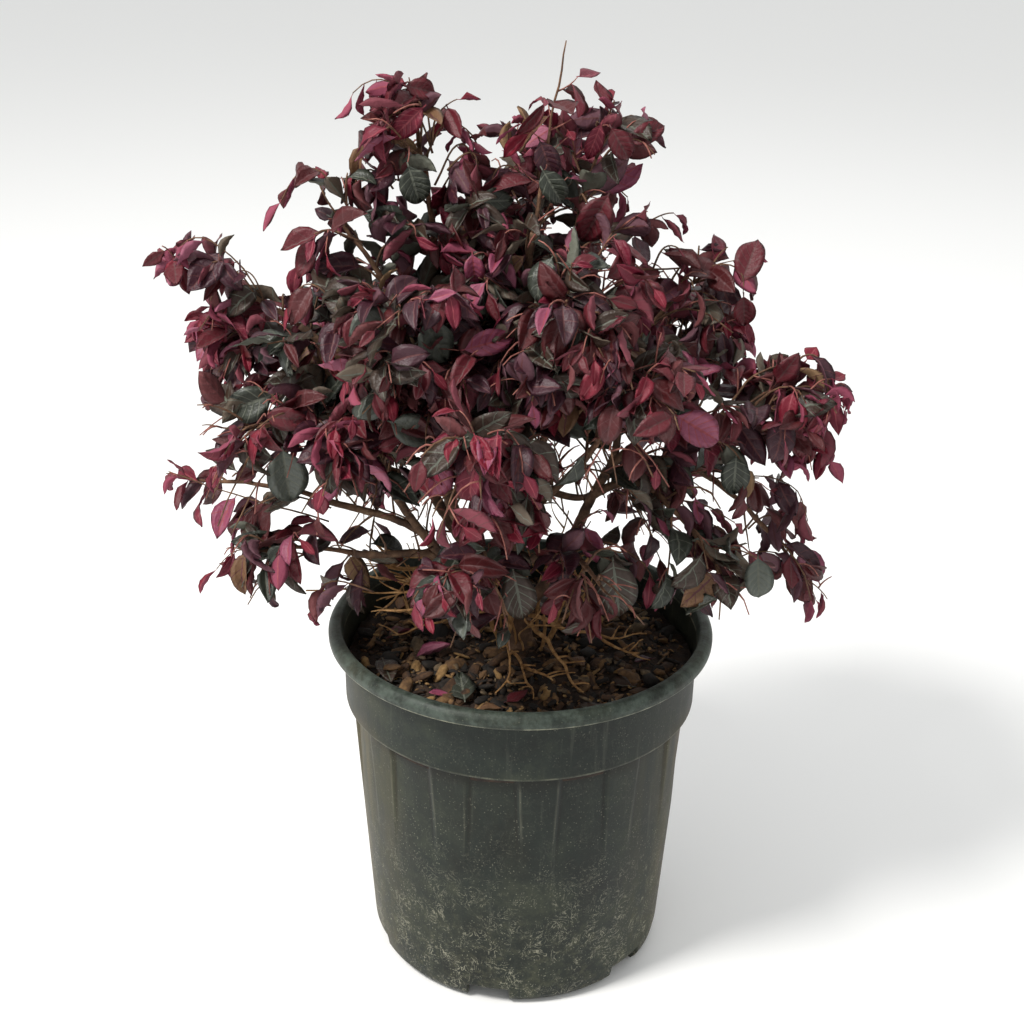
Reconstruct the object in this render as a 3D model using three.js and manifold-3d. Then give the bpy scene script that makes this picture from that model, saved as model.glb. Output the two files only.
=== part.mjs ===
import * as THREE from "three";
import { mergeVertices } from "three/addons/utils/BufferGeometryUtils.js";
import Module from "manifold-3d";

const wasm = await Module();
wasm.setup();

// A purple-leaved flowering shrub, standing in the plastic pot that it was grown in.
// Millimetres, +Z up, the front towards -Y. The origin is the middle of the pot's flat underside.

const UP = new THREE.Vector3(0, 0, 1);
const DEGREE = Math.PI / 180;
const GAP = 0.3;

// Pot: a tapered wall with shallow flutes, a wider plain band, and a lip round the top
const POT_HEIGHT = 264;
const LIP_RADIUS = 140;
const LIP_TOP_RADIUS = 137.4;
const LIP_HEIGHT = 10;
const LIP_UNDERCUT = 0.8;
const MOUTH_RADIUS = 129.7;
const BAND_RADIUS = 129;
const BAND_FOOT_RADIUS = 128.4;
const BAND_FOOT = 207.2;
const WALL_TOP = 206;
const WALL_TOP_RADIUS = 123.3;
const WALL_FOOT = 16;
const WALL_FOOT_RADIUS = 110.4;
const FOOT_CURVE_TOP = 6;
const FOOT_CURVE_RADIUS = 108.6;
const FOOT_RADIUS = 103;
const WALL_THICKNESS = 4.6;
const BAND_INNER_FOOT_RADIUS = 126.3;
const STEP_SLOPE = 2;
const FLOOR_THICKNESS = 3;
const FLUTES = 12;
const FLUTE_DEPTH = 2.5;
const FLUTE_FADES_AT = 125;
const FLUTE_HALF_WIDTH = 8 * DEGREE;
const FLUTE_FADED_HALF_WIDTH = 9.5 * DEGREE;
const FLUTE_EDGE = 0.9 * DEGREE;
const FIRST_FLUTE = -7.6 * DEGREE;

// Drain notches, cut into the edge of the foot, with a hole through each notch's ceiling
const NOTCHES = 6;
const FIRST_NOTCH = -10 * DEGREE;
const NOTCH_WIDTH = 31;
const NOTCH_HEIGHT = 14.5;
const NOTCH_INNER_RADIUS = 86;
const NOTCH_CEILING = 3.3;
const RAISED_FLOOR_RADIUS = 79.5;
const RAISED_FLOOR_SLOPE = 4.5;
const DRAIN_HOLE_RADIUS = 5;
const DRAIN_HOLE_PLACE = 95;
const DRAIN_HOLE_SIDES = 8;

// Compost: slightly mounded round the trunk
const SOIL_TOP = 242;
const SOIL_EDGE_TOP = 238.5;
const MOUND_RADIUS = 24;

// Trunk: flared at the root, leaning a little, up to the fork
const TRUNK_FLARE_RADIUS = 15;
const TRUNK_RADIUS = 9.5;
const FORK_RADIUS = 7.5;
const FLARE_HEIGHT = 12;
const FORK_HEIGHT = 54;
const TRUNK_LEAN = new THREE.Vector3(-4, 3, 0);
const TRUNK_BEND = 0.4;
const TRUNK_SIDES = 8;
const TRUNK_STEPS = 8;

// Boughs
const MAIN_BOUGH_RADIUS = 5;
const SIDE_BOUGH_RADIUS = 3;
const BOUGH_TIP_RADIUS = 2.4;
const BOUGH_SIDES = 6;
const SIDE_BOUGH_SIDES = 5;
const BOUGH_STEPS = 5;
const SIDE_BOUGH_STEPS = 4;
const BOUGH_BOW = 0.38;
const BOUGH_RISE = 0.75;
const LARGEST_SCRAP = 0.1;
const BALL_SPACING = 2;
const FIRST_ACROSS = new THREE.Vector3(0.31, 0.87, 0.38);

// Foliage: each mass has one stem, side twigs in a spiral, and leaves in two rows on both
const STEM_SHARE = 0.72;
const STEM_ARCH = 0.07;
const STEM_RADIUS = 2.6;
const STEM_TIP_RADIUS = 1.8;
const STEM_STEPS = 3;
const STEM_BARE_SHARE = 0.2;
const TWIG_RADIUS = 1.5;
const TWIG_ROOT_SHARE = 0.5;
const TWIG_SIDES = 3;
const TWIG_STEPS = 2;
const TWIG_BARE_SHARE = 0.35;
const FIRST_TWIG_AT = 0.12;
const TWIGS_SPAN = 0.72;
const TWIG_SPIRAL = 137.5 * DEGREE;
const TWIG_TURN_SPREAD = 0.8;
const TWIG_SPREAD = 62 * DEGREE;
const TWIG_REACH = 0.55;
const TWIG_BEND_AT = 0.55;
const TWIG_DROOP = 0.14;
const SPIRAL_START = new THREE.Vector3(0.2, 0.3, 1);
const REACH_STEP = 2;
const SHORTEST_TWIG = 14;
const FEWEST_TWIGS = 2;
const AREA_PER_TWIG = 1250;
const LEAF_SPACING = 17;
const LEAF_LENGTH = 60;
const NARROW_MASS_LEAF_LENGTH = 36;
const NARROW_MASS = 22;
const LEAF_BREADTH = 0.62;
const LEAF_THICKNESS = 0.03;
const LEAF_SHOULDERS_AT = [0.36, 0.68];
const LEAF_SHOULDER_BREADTH = 0.9;
const LEAF_RIDGE_AT = 0.4;
const LEAF_SINK = 0.4;
const LEAF_ROOT = 4;
const LEAF_SIZES = [1.1, 0.95, 0.8, 0.65];
const LEAF_ATTEMPTS = 6;
const LEAF_FORWARD = 0.55;
const LEAST_LEAN_OUT = 0.3;
const LEAF_LEAN_SPREAD = 0.7;
const LEAF_DROOP = 0.9;
const LEAF_TILT_SPREAD = 2.4;
const LEAF_ROW_TILT = 0.3;
const NEIGHBOUR_MARGIN = 1.1;
const BULGE = 3;
const LIMB_CLEARANCE = 0.9;
const SPACE_CLEARANCE = 0.4;
const SHORTEST_EDGE = 0.05;
const LOWEST_LEAF = 268;
const FIRST_SEED = 5003;
const SEED_STEP = 97;
const SEED_FACTOR = 16807;
const SEED_RANGE = 2147483647;

// The crown. Each main bough leaves the trunk at its own height above the soil and ends in its first
// mass of foliage. Its other masses have side boughs, which leave it at a share of its length. A mass
// has the places of its root and of its furthest tip, each as a turn from +X in degrees, a distance
// out from the pot's axis and a height above the soil, and half of its width.
const CROWN = [
  { bough: "left", height: 22, turn: -160, masses: [
    { name: "left_centre", root: [-158, 95, 134], tip: [-143, 159, 209], half: 52 },
    { name: "left_low", at: 0.85, root: [-161, 125, 179], tip: [-164, 219, 190], half: 54 },
    { name: "left_spray", at: 0.7, root: [-176, 138, 116], tip: [-179, 250, 131], half: 20 },
    { name: "low_left", at: 0.5, root: [-163, 122, 88], tip: [-165, 208, 97], half: 36 },
  ] },
  { bough: "left_upper", height: 38, turn: 168, masses: [
    { name: "left_high", root: [172, 140, 203], tip: [170, 232, 233], half: 50 },
    { name: "left_arch", at: 0.72, root: [180, 152, 240], tip: [179, 243, 289], half: 26 },
  ] },
  { bough: "centre_left", height: 46, turn: 178, masses: [
    { name: "top_left", root: [178, 62, 306], tip: [177, 77, 404], half: 50 },
    { name: "upper_left", at: 0.62, root: [-163, 84, 254], tip: [-172, 138, 345], half: 38 },
  ] },
  { bough: "centre", height: FORK_HEIGHT, turn: -150, masses: [
    { name: "top_centre", root: [-157, 38, 228], tip: [169, 53, 333], half: 70 },
    { name: "top_right", at: 0.6, root: [26, 34, 296], tip: [14, 56, 390], half: 44 },
    { name: "spire", at: 0.5, root: [-72, 14, 310], tip: [-13, 23, 429], half: 18, bare: true },
    { name: "back_top", at: 0.7, root: [100, 35, 252], tip: [82, 95, 360], half: 52 },
  ] },
  { bough: "right", height: 28, turn: -8, masses: [
    { name: "right", root: [-12, 95, 176], tip: [-8, 216, 208], half: 50 },
    { name: "right_high", at: 0.75, root: [12, 75, 225], tip: [11, 138, 292], half: 44 },
    { name: "right_low", at: 0.6, root: [-21, 97, 138], tip: [-25, 167, 75], half: 42 },
    { name: "right_spray", at: 0.7, root: [10, 137, 124], tip: [6, 227, 30], half: 28 },
  ] },
  { bough: "front", height: 34, turn: -96, masses: [
    { name: "front_centre", root: [-101, 71, 145], tip: [-99, 187, 242], half: 54 },
    { name: "mid_left", at: 0.66, root: [-133, 68, 185], tip: [-131, 139, 296], half: 68 },
    { name: "mid_right", at: 0.75, root: [-72, 53, 194], tip: [-76, 114, 317], half: 68 },
    { name: "front_right", at: 0.6, root: [-51, 71, 176], tip: [-61, 155, 260], half: 52 },
    { name: "low_front_left", at: 0.4, root: [-113, 53, 92], tip: [-104, 153, 116], half: 38 },
    { name: "low_front_right", at: 0.3, root: [-56, 54, 100], tip: [-67, 152, 108], half: 38 },
  ] },
  { bough: "back", height: 42, turn: 92, masses: [
    { name: "back_centre", root: [88, 72, 165], tip: [93, 170, 262], half: 54 },
    { name: "back_left", at: 0.8, root: [135, 88, 160], tip: [138, 200, 232], half: 50 },
    { name: "back_right", at: 0.8, root: [44, 88, 155], tip: [42, 200, 225], half: 50 },
    { name: "back_low_left", at: 0.5, root: [130, 80, 92], tip: [140, 185, 96], half: 46 },
    { name: "back_low_right", at: 0.5, root: [52, 80, 92], tip: [44, 185, 88], half: 46 },
    { name: "back_low", at: 0.35, root: [94, 66, 74], tip: [92, 172, 92], half: 46 },
  ] },
];

const potPlastic = new THREE.MeshStandardMaterial({ color: 0x3a4440, roughness: 0.55, metalness: 0 });
const compost = new THREE.MeshStandardMaterial({ color: 0x3a2a20, roughness: 1, metalness: 0 });
const bark = new THREE.MeshStandardMaterial({ color: 0x6e5240, roughness: 0.9, metalness: 0 });
const leafMaroon = new THREE.MeshStandardMaterial({ color: 0x5e2433, roughness: 0.6, metalness: 0 });

const plant = new THREE.Group();

function addPart(name, geometry, material) {
  const mesh = new THREE.Mesh(geometry, material);
  mesh.name = name;
  plant.add(mesh);
}

// Joining and cutting

function solidOf(geometry) {
  const bare = geometry.clone();
  bare.deleteAttribute("normal");
  bare.deleteAttribute("uv");
  const merged = mergeVertices(bare, 1e-4);
  return new wasm.Manifold(new wasm.Mesh({
    numProp: 3,
    vertProperties: new Float32Array(merged.attributes.position.array),
    triVerts: new Uint32Array(merged.index.array),
  }));
}

function geometryOf(solid) {
  const mesh = solid.getMesh();
  const geometry = new THREE.BufferGeometry();
  geometry.setAttribute("position", new THREE.BufferAttribute(mesh.vertProperties, 3));
  geometry.setIndex(new THREE.BufferAttribute(mesh.triVerts, 1));
  return geometry;
}

function largestPiece(solid) {
  const pieces = solid.decompose();
  return pieces.reduce((best, piece) => (piece.volume() > best.volume() ? piece : best));
}

function meshFrom(points, triangles) {
  const geometry = new THREE.BufferGeometry();
  const numbers = points.flatMap((point) => point.toArray());
  geometry.setAttribute("position", new THREE.Float32BufferAttribute(numbers, 3));
  geometry.setIndex(triangles.flat());
  return geometry;
}

// Rings of equally many points, joined one to the next, with the first and last ring closed
function ringSolid(rings) {
  const sides = rings[0].length;
  const points = rings.flat();
  const triangles = [];
  for (let ring = 0; ring + 1 < rings.length; ring += 1) {
    for (let side = 0; side < sides; side += 1) {
      const a = ring * sides + side;
      const b = ring * sides + ((side + 1) % sides);
      triangles.push([a, b, b + sides], [a, b + sides, a + sides]);
    }
  }
  const last = (rings.length - 1) * sides;
  for (let side = 1; side + 1 < sides; side += 1) {
    triangles.push([0, side + 1, side], [last, last + side, last + side + 1]);
  }
  return meshFrom(points, triangles);
}

// Pot and compost

function share(value, from, to) {
  return Math.min(1, Math.max(0, (value - from) / (to - from)));
}

function wallRadius(height) {
  return THREE.MathUtils.lerp(WALL_FOOT_RADIUS, WALL_TOP_RADIUS, share(height, WALL_FOOT, WALL_TOP));
}

// One level of the pot: six points to a flute, four on the edges of its recess
function potRing(height, radius) {
  const onWall = height >= FLUTE_FADES_AT && height <= WALL_TOP && radius > wallRadius(height) - 1;
  const depth = onWall ? FLUTE_DEPTH * share(height, FLUTE_FADES_AT, WALL_TOP) : 0;
  const half = THREE.MathUtils.lerp(
    FLUTE_FADED_HALF_WIDTH, FLUTE_HALF_WIDTH, share(height, FLUTE_FADES_AT, WALL_TOP));
  const period = 2 * Math.PI / FLUTES;
  const ring = [];
  for (let flute = 0; flute < FLUTES; flute += 1) {
    const middle = FIRST_FLUTE + flute * period;
    const corners = [
      [-half - FLUTE_EDGE, 0], [-half + FLUTE_EDGE, depth], [0, depth],
      [half - FLUTE_EDGE, depth], [half + FLUTE_EDGE, 0], [period / 2, 0],
    ];
    for (const [turn, recess] of corners) {
      const angle = middle + turn;
      const out = radius - recess;
      ring.push(new THREE.Vector3(out * Math.sin(angle), -out * Math.cos(angle), height));
    }
  }
  return ring;
}

const raisedFloor = NOTCH_HEIGHT + NOTCH_CEILING;
const insideOfPot = [
  [MOUTH_RADIUS, POT_HEIGHT],
  [BAND_INNER_FOOT_RADIUS, BAND_FOOT + STEP_SLOPE],
  [WALL_TOP_RADIUS - WALL_THICKNESS, BAND_FOOT - STEP_SLOPE],
  [wallRadius(raisedFloor) - WALL_THICKNESS, raisedFloor],
  [RAISED_FLOOR_RADIUS + RAISED_FLOOR_SLOPE, raisedFloor],
  [RAISED_FLOOR_RADIUS, FLOOR_THICKNESS],
];

function makePot() {
  const outside = [
    [FOOT_RADIUS, 0],
    [FOOT_CURVE_RADIUS, FOOT_CURVE_TOP],
    [WALL_FOOT_RADIUS, WALL_FOOT],
    [wallRadius(FLUTE_FADES_AT), FLUTE_FADES_AT],
    [WALL_TOP_RADIUS, WALL_TOP],
    [BAND_FOOT_RADIUS, BAND_FOOT],
    [BAND_RADIUS, POT_HEIGHT - LIP_HEIGHT - LIP_UNDERCUT],
    [LIP_RADIUS, POT_HEIGHT - LIP_HEIGHT],
    [LIP_TOP_RADIUS, POT_HEIGHT],
  ];
  const rings = [...outside, ...insideOfPot].map(([radius, height]) => potRing(height, radius));
  let pot = solidOf(ringSolid(rings));
  const reach = LIP_RADIUS - NOTCH_INNER_RADIUS;
  for (let notch = 0; notch < NOTCHES; notch += 1) {
    const turn = FIRST_NOTCH + notch * 2 * Math.PI / NOTCHES;
    const cut = new THREE.BoxGeometry(NOTCH_WIDTH, reach, 2 * NOTCH_HEIGHT);
    cut.translate(0, -NOTCH_INNER_RADIUS - reach / 2, 0);
    cut.rotateZ(turn);
    const hole = new THREE.CylinderGeometry(
      DRAIN_HOLE_RADIUS, DRAIN_HOLE_RADIUS, 4 * NOTCH_CEILING, DRAIN_HOLE_SIDES);
    hole.rotateX(Math.PI / 2);
    hole.translate(0, -DRAIN_HOLE_PLACE, raisedFloor);
    hole.rotateZ(turn);
    pot = pot.subtract(solidOf(cut)).subtract(solidOf(hole));
  }
  addPart("pot", geometryOf(largestPiece(pot)), potPlastic);
}

// The compost fills the pot up to a mound, in rings that turn with the wall's
function makeSoil() {
  const inner = insideOfPot.slice(1).reverse().map(([radius, height]) => [radius - GAP, height + GAP]);
  const top = [[BAND_INNER_FOOT_RADIUS - GAP, SOIL_EDGE_TOP], [MOUND_RADIUS, SOIL_TOP]];
  const rings = [...inner, ...top].map(([radius, height]) => potRing(height, radius));
  addPart("soil", geometryOf(solidOf(ringSolid(rings))), compost);
}

// Limbs

function place([turn, out, height]) {
  const angle = turn * DEGREE;
  return new THREE.Vector3(out * Math.cos(angle), out * Math.sin(angle), SOIL_TOP + height);
}

function along(start, direction, distance) {
  return start.clone().addScaledVector(direction, distance);
}

function perpendicular(direction, wanted) {
  return wanted.clone().addScaledVector(direction, -wanted.dot(direction)).normalize();
}

// A tapered tube: radii are given at shares of the curve, and extra widens and lengthens it all round
function tube(curve, sides, steps, radii, extra = 0) {
  const rings = [];
  let across = FIRST_ACROSS;
  for (let step = 0; step <= steps; step += 1) {
    const t = step / steps;
    const centre = curve.getPoint(t);
    const aim = curve.getTangent(t);
    across = perpendicular(aim, across);
    const other = aim.clone().cross(across);
    if (step === 0) centre.addScaledVector(aim, -extra);
    if (step === steps) centre.addScaledVector(aim, extra);
    const radius = radii(t) + extra / Math.cos(Math.PI / sides);
    const ring = [];
    for (let side = 0; side < sides; side += 1) {
      const angle = side / sides * 2 * Math.PI;
      ring.push(along(along(centre, across, radius * Math.cos(angle)), other, radius * Math.sin(angle)));
    }
    rings.push(ring);
  }
  return ringSolid(rings);
}

function taper(from, to) {
  return (t) => THREE.MathUtils.lerp(from, to, t);
}

function limbCurve(start, startAim, end, endAim) {
  const bow = start.distanceTo(end) * BOUGH_BOW;
  return new THREE.CubicBezierCurve3(start, along(start, startAim, bow), along(end, endAim, -bow), end);
}

// The limbs so far, each grown by the gap that a later one keeps to it, and balls along their middles
// for the foliage, which has to stay clear of them
const grownLimbs = [];
const limbBalls = [];

// A limb, cut off where it meets those before it
function addLimb(name, curve, sides, steps, radii) {
  let solid = solidOf(tube(curve, sides, steps, radii));
  for (const grown of grownLimbs) solid = solid.subtract(grown);
  const pieces = solid.decompose().sort((a, b) => b.volume() - a.volume());
  if (pieces.length > 1 && pieces[1].volume() > LARGEST_SCRAP * pieces[0].volume()) {
    throw new Error(`${name} is cut in two by another limb`);
  }
  grownLimbs.push(solidOf(tube(curve, sides, steps, radii, GAP)));
  const count = Math.ceil(curve.getLength() / BALL_SPACING);
  for (let ball = 0; ball <= count; ball += 1) {
    limbBalls.push({ centre: curve.getPoint(ball / count), radius: radii(ball / count) });
  }
  addPart(name, geometryOf(pieces[0]), bark);
}

const trunkCurve = new THREE.CubicBezierCurve3(
  new THREE.Vector3(0, 0, SOIL_TOP + GAP),
  new THREE.Vector3(0, 0, SOIL_TOP + FORK_HEIGHT * TRUNK_BEND),
  new THREE.Vector3(0, 0, SOIL_TOP + FORK_HEIGHT * (1 - TRUNK_BEND)).add(TRUNK_LEAN),
  new THREE.Vector3(0, 0, SOIL_TOP + FORK_HEIGHT).add(TRUNK_LEAN),
);

function trunkRadius(t) {
  const height = t * FORK_HEIGHT;
  const flare = (TRUNK_FLARE_RADIUS - TRUNK_RADIUS) * (1 - share(height, 0, FLARE_HEIGHT)) ** 2;
  return THREE.MathUtils.lerp(TRUNK_RADIUS, FORK_RADIUS, t) + flare;
}

function stemCurve(mass) {
  const root = place(mass.root);
  const tip = place(mass.tip);
  const end = root.clone().lerp(tip, mass.bare ? 1 : STEM_SHARE);
  const middle = root.clone().lerp(end, 0.5);
  middle.z += STEM_ARCH * root.distanceTo(tip);
  return new THREE.QuadraticBezierCurve3(root, middle, end);
}

function makeLimbs() {
  addLimb("trunk", trunkCurve, TRUNK_SIDES, TRUNK_STEPS, trunkRadius);
  for (const main of CROWN) {
    const first = main.masses[0];
    const stem = stemCurve(first);
    const aim = stem.getTangent(0);
    const t = main.height / FORK_HEIGHT;
    const fromFork = t >= 1;
    const start = trunkCurve.getPoint(t);
    const outward = place([main.turn, 1, 0]).setZ(0);
    const startAim = trunkCurve.getTangent(t);
    if (fromFork) start.addScaledVector(startAim, GAP);
    else startAim.multiplyScalar(BOUGH_RISE).add(outward).normalize();
    main.curve = limbCurve(start, startAim, along(stem.v0, aim, -GAP), aim);
    const radii = taper(MAIN_BOUGH_RADIUS, BOUGH_TIP_RADIUS);
    addLimb(`bough_${main.bough}`, main.curve, BOUGH_SIDES, BOUGH_STEPS, radii);
  }
  for (const main of CROWN) {
    for (const mass of main.masses.slice(1)) {
      const stem = stemCurve(mass);
      const aim = stem.getTangent(0);
      const start = main.curve.getPoint(mass.at);
      const toRoot = stem.v0.clone().sub(start).normalize();
      const startAim = toRoot.add(main.curve.getTangent(mass.at)).normalize();
      const curve = limbCurve(start, startAim, along(stem.v0, aim, -GAP), aim);
      const radii = taper(SIDE_BOUGH_RADIUS, BOUGH_TIP_RADIUS);
      addLimb(`bough_${mass.name}`, curve, SIDE_BOUGH_SIDES, SIDE_BOUGH_STEPS, radii);
    }
  }
}

// Foliage

// Numbers from 0 to 1, each worked out from the one before
function seeded(seed) {
  let state = seed;
  return () => {
    state = state * SEED_FACTOR % SEED_RANGE;
    return state / SEED_RANGE;
  };
}

// The nearest points of two straight lines, each given by its ends
function nearestPoints(a, b, c, d) {
  const one = b.clone().sub(a);
  const two = d.clone().sub(c);
  const between = a.clone().sub(c);
  const oneSquared = one.lengthSq();
  const twoSquared = two.lengthSq();
  const product = one.dot(two);
  const determinant = oneSquared * twoSquared - product * product;
  let s = (product * two.dot(between) - twoSquared * one.dot(between)) / Math.max(determinant, 1e-9);
  s = Math.min(1, Math.max(0, s));
  let t = (product * s + two.dot(between)) / twoSquared;
  t = Math.min(1, Math.max(0, t));
  s = Math.min(1, Math.max(0, (product * t - one.dot(between)) / oneSquared));
  return [along(a, one, s), along(c, two, t)];
}

// A mass's own space: a bulging spindle from its root to its tip, cut off by a flat
// boundary towards each neighbour
function spaceOf(mass, masses) {
  const root = place(mass.root);
  const tip = place(mass.tip);
  const half = root.distanceTo(tip) / 2 + 1;
  const centre = root.clone().lerp(tip, 0.5);
  const axis = tip.clone().sub(root).normalize();
  const walls = [];
  for (const other of masses) {
    if (other === mass) continue;
    const [near, far] = nearestPoints(root, tip, place(other.root), place(other.tip));
    const normal = far.clone().sub(near).normalize();
    const distance = near.distanceTo(far) * mass.half / (mass.half + other.half) - SPACE_CLEARANCE;
    walls.push(new THREE.Plane().setFromNormalAndCoplanarPoint(normal, along(near, normal, distance)));
  }
  return (point) => {
    if (point.z < LOWEST_LEAF) return false;
    const offset = point.clone().sub(centre);
    const lengthways = offset.dot(axis);
    const sideways = Math.sqrt(Math.max(0, offset.lengthSq() - lengthways * lengthways));
    const fill = Math.abs(lengthways / half) ** BULGE + (sideways / mass.half) ** BULGE;
    return fill <= 1 && walls.every((wall) => wall.distanceToPoint(point) <= 0);
  };
}

function twigIsClear(curve, radius) {
  const steps = Math.ceil(curve.getLength() / BALL_SPACING);
  for (let step = 0; step <= steps; step += 1) {
    const point = curve.getPoint(step / steps);
    for (const ball of limbBalls) {
      if (point.distanceTo(ball.centre) < ball.radius + radius + LIMB_CLEARANCE) return false;
    }
  }
  return true;
}

function leafIsClear(leaf) {
  const nearest = new THREE.Vector3();
  const reach = leaf.base.distanceTo(leaf.tip);
  for (const ball of limbBalls) {
    const limit = ball.radius + LIMB_CLEARANCE;
    if (ball.centre.distanceTo(leaf.base) > reach + limit) continue;
    for (const half of leaf.halves) {
      if (half.closestPointToPoint(ball.centre, nearest).distanceTo(ball.centre) < limit) return false;
    }
  }
  return true;
}

// Whether a straight line from one point to another passes through a leaf, beyond its own root
function pierces([from, to], leaf) {
  const ray = new THREE.Ray(from, to.clone().sub(from).normalize());
  const length = from.distanceTo(to);
  return leaf.halves.some((half) => {
    const hit = ray.intersectTriangle(half.a, half.b, half.c, false, new THREE.Vector3());
    return hit !== null && hit.distanceTo(from) <= length && hit.distanceTo(leaf.base) > LEAF_ROOT;
  });
}

function leavesCross(one, two) {
  const reach = (one.length + two.length) / 2 * NEIGHBOUR_MARGIN;
  if (one.middle.distanceTo(two.middle) > reach) return false;
  return one.edges.some((edge) => pierces(edge, two)) || two.edges.some((edge) => pierces(edge, one));
}

// A leaf: a flat six-cornered outline under a low ridge, whose highest point is on the midrib
function leafShape(base, aim, face, length) {
  const side = aim.clone().cross(face);
  const breadth = length * LEAF_BREADTH / 2 * LEAF_SHOULDER_BREADTH;
  const corner = (at, sideSign) => along(along(base, aim, length * at), side, breadth * sideSign);
  const tip = along(base, aim, length);
  const [low, high] = LEAF_SHOULDERS_AT;
  const outline = [base, corner(low, 1), corner(high, 1), tip, corner(high, -1), corner(low, -1)];
  return {
    base, tip, outline, length,
    middle: along(base, aim, length / 2),
    top: along(along(base, aim, length * LEAF_RIDGE_AT), face, length * LEAF_THICKNESS),
    halves: [1, 2, 3, 4].map((index) => new THREE.Triangle(base, outline[index], outline[index + 1])),
    edges: outline.map((point, index) => [point, outline[(index + 1) % outline.length]]),
  };
}

function leafSolid(leaf) {
  const count = leaf.outline.length;
  const triangles = [];
  for (let edge = 0; edge < count; edge += 1) triangles.push([edge, (edge + 1) % count, count]);
  for (let edge = 1; edge + 1 < count; edge += 1) triangles.push([0, edge + 1, edge]);
  return meshFrom([...leaf.outline, leaf.top], triangles);
}

function leafFits(leaf, spray) {
  return [...leaf.outline.slice(1), leaf.top].every(spray.fits)
    && leafIsClear(leaf)
    && !spray.leaves.some((other) => leavesCross(leaf, other))
    && !spray.twigs.some((twig) => twig.lines.some((line) => pierces(line, leaf)));
}

// A leaf at a share of a twig leans out to one side, hangs a little, and faces up and outwards.
// Of a few tries, it is the one that lies furthest from the leaves already there.
function tryLeaf(twig, t, sideSign, random, spray) {
  const node = twig.curve.getPoint(t);
  const twigAim = twig.curve.getTangent(t);
  const level = perpendicular(twigAim, new THREE.Vector3(-twigAim.y, twigAim.x, LEAF_ROW_TILT));
  const outward = new THREE.Vector3(node.x, node.y, 0).normalize();
  const forward = t >= 1 ? 1 : LEAF_FORWARD;
  let best = null;
  let bestRoom = 0;
  for (let attempt = 0; attempt < LEAF_ATTEMPTS; attempt += 1) {
    const side = level.clone().applyAxisAngle(twigAim, (random() - 0.5) * Math.PI);
    const aim = twigAim.clone().multiplyScalar(forward)
      .addScaledVector(side, (LEAST_LEAN_OUT + LEAF_LEAN_SPREAD * random()) * sideSign)
      .addScaledVector(UP, -LEAF_DROOP * random())
      .normalize();
    const facing = outward.clone().add(UP).addScaledVector(side, LEAF_TILT_SPREAD * (random() - 0.5));
    const face = perpendicular(aim, facing);
    const base = along(node, aim, -LEAF_SINK * twig.radius);
    for (const size of LEAF_SIZES) {
      const leaf = leafShape(base, aim, face, spray.leafLength * size);
      const rooms = spray.leaves.map((other) => other.middle.distanceTo(leaf.middle));
      const room = Math.min(spray.leafLength, ...rooms) * size;
      if (room <= bestRoom || !leafFits(leaf, spray)) continue;
      best = leaf;
      bestRoom = room;
      break;
    }
  }
  return best;
}

function addLeavesAlong(twig, from, random, spray) {
  const count = Math.max(1, Math.round(twig.curve.getLength() * (1 - from) / LEAF_SPACING));
  for (let index = 0; index <= count; index += 1) {
    const t = 1 - (1 - from) * index / count;
    const leaf = tryLeaf(twig, t, index % 2 === 0 ? 1 : -1, random, spray);
    if (leaf) spray.leaves.push(leaf);
  }
}

// The leaf at the stem's end, which reaches the furthest tip of the mass
function endLeaf(stem, tip) {
  const aim = tip.clone().sub(stem.v2).normalize();
  const base = along(stem.v2, aim, -LEAF_SINK * TWIG_RADIUS);
  return leafShape(base, aim, perpendicular(aim, UP), base.distanceTo(tip));
}

// A twig leaves the stem on the spiral and ends short of the boundary of the mass's space
function twigCurve(stem, t, turn, fits) {
  const start = stem.getPoint(t);
  const aim = stem.getTangent(t);
  const out = perpendicular(aim, SPIRAL_START).applyAxisAngle(aim, turn);
  const direction = aim.clone().multiplyScalar(Math.cos(TWIG_SPREAD))
    .addScaledVector(out, Math.sin(TWIG_SPREAD));
  let reach = 0;
  while (fits(along(start, direction, reach + REACH_STEP))) reach += REACH_STEP;
  const length = reach * TWIG_REACH;
  const middle = along(start, direction, length * TWIG_BEND_AT);
  const end = along(along(start, direction, length), UP, -TWIG_DROOP * length);
  return { curve: new THREE.QuadraticBezierCurve3(start, middle, end), length };
}

function twigOn(curve, steps, radii) {
  const points = curve.getPoints(steps);
  const lines = points.slice(1).map((point, index) => [points[index], point]);
  return { curve, radius: radii(1), lines, solid: solidOf(tube(curve, TWIG_SIDES, steps, radii)) };
}

function twigRadius(t) {
  return t > 0 ? TWIG_RADIUS : TWIG_RADIUS * TWIG_ROOT_SHARE;
}

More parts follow.
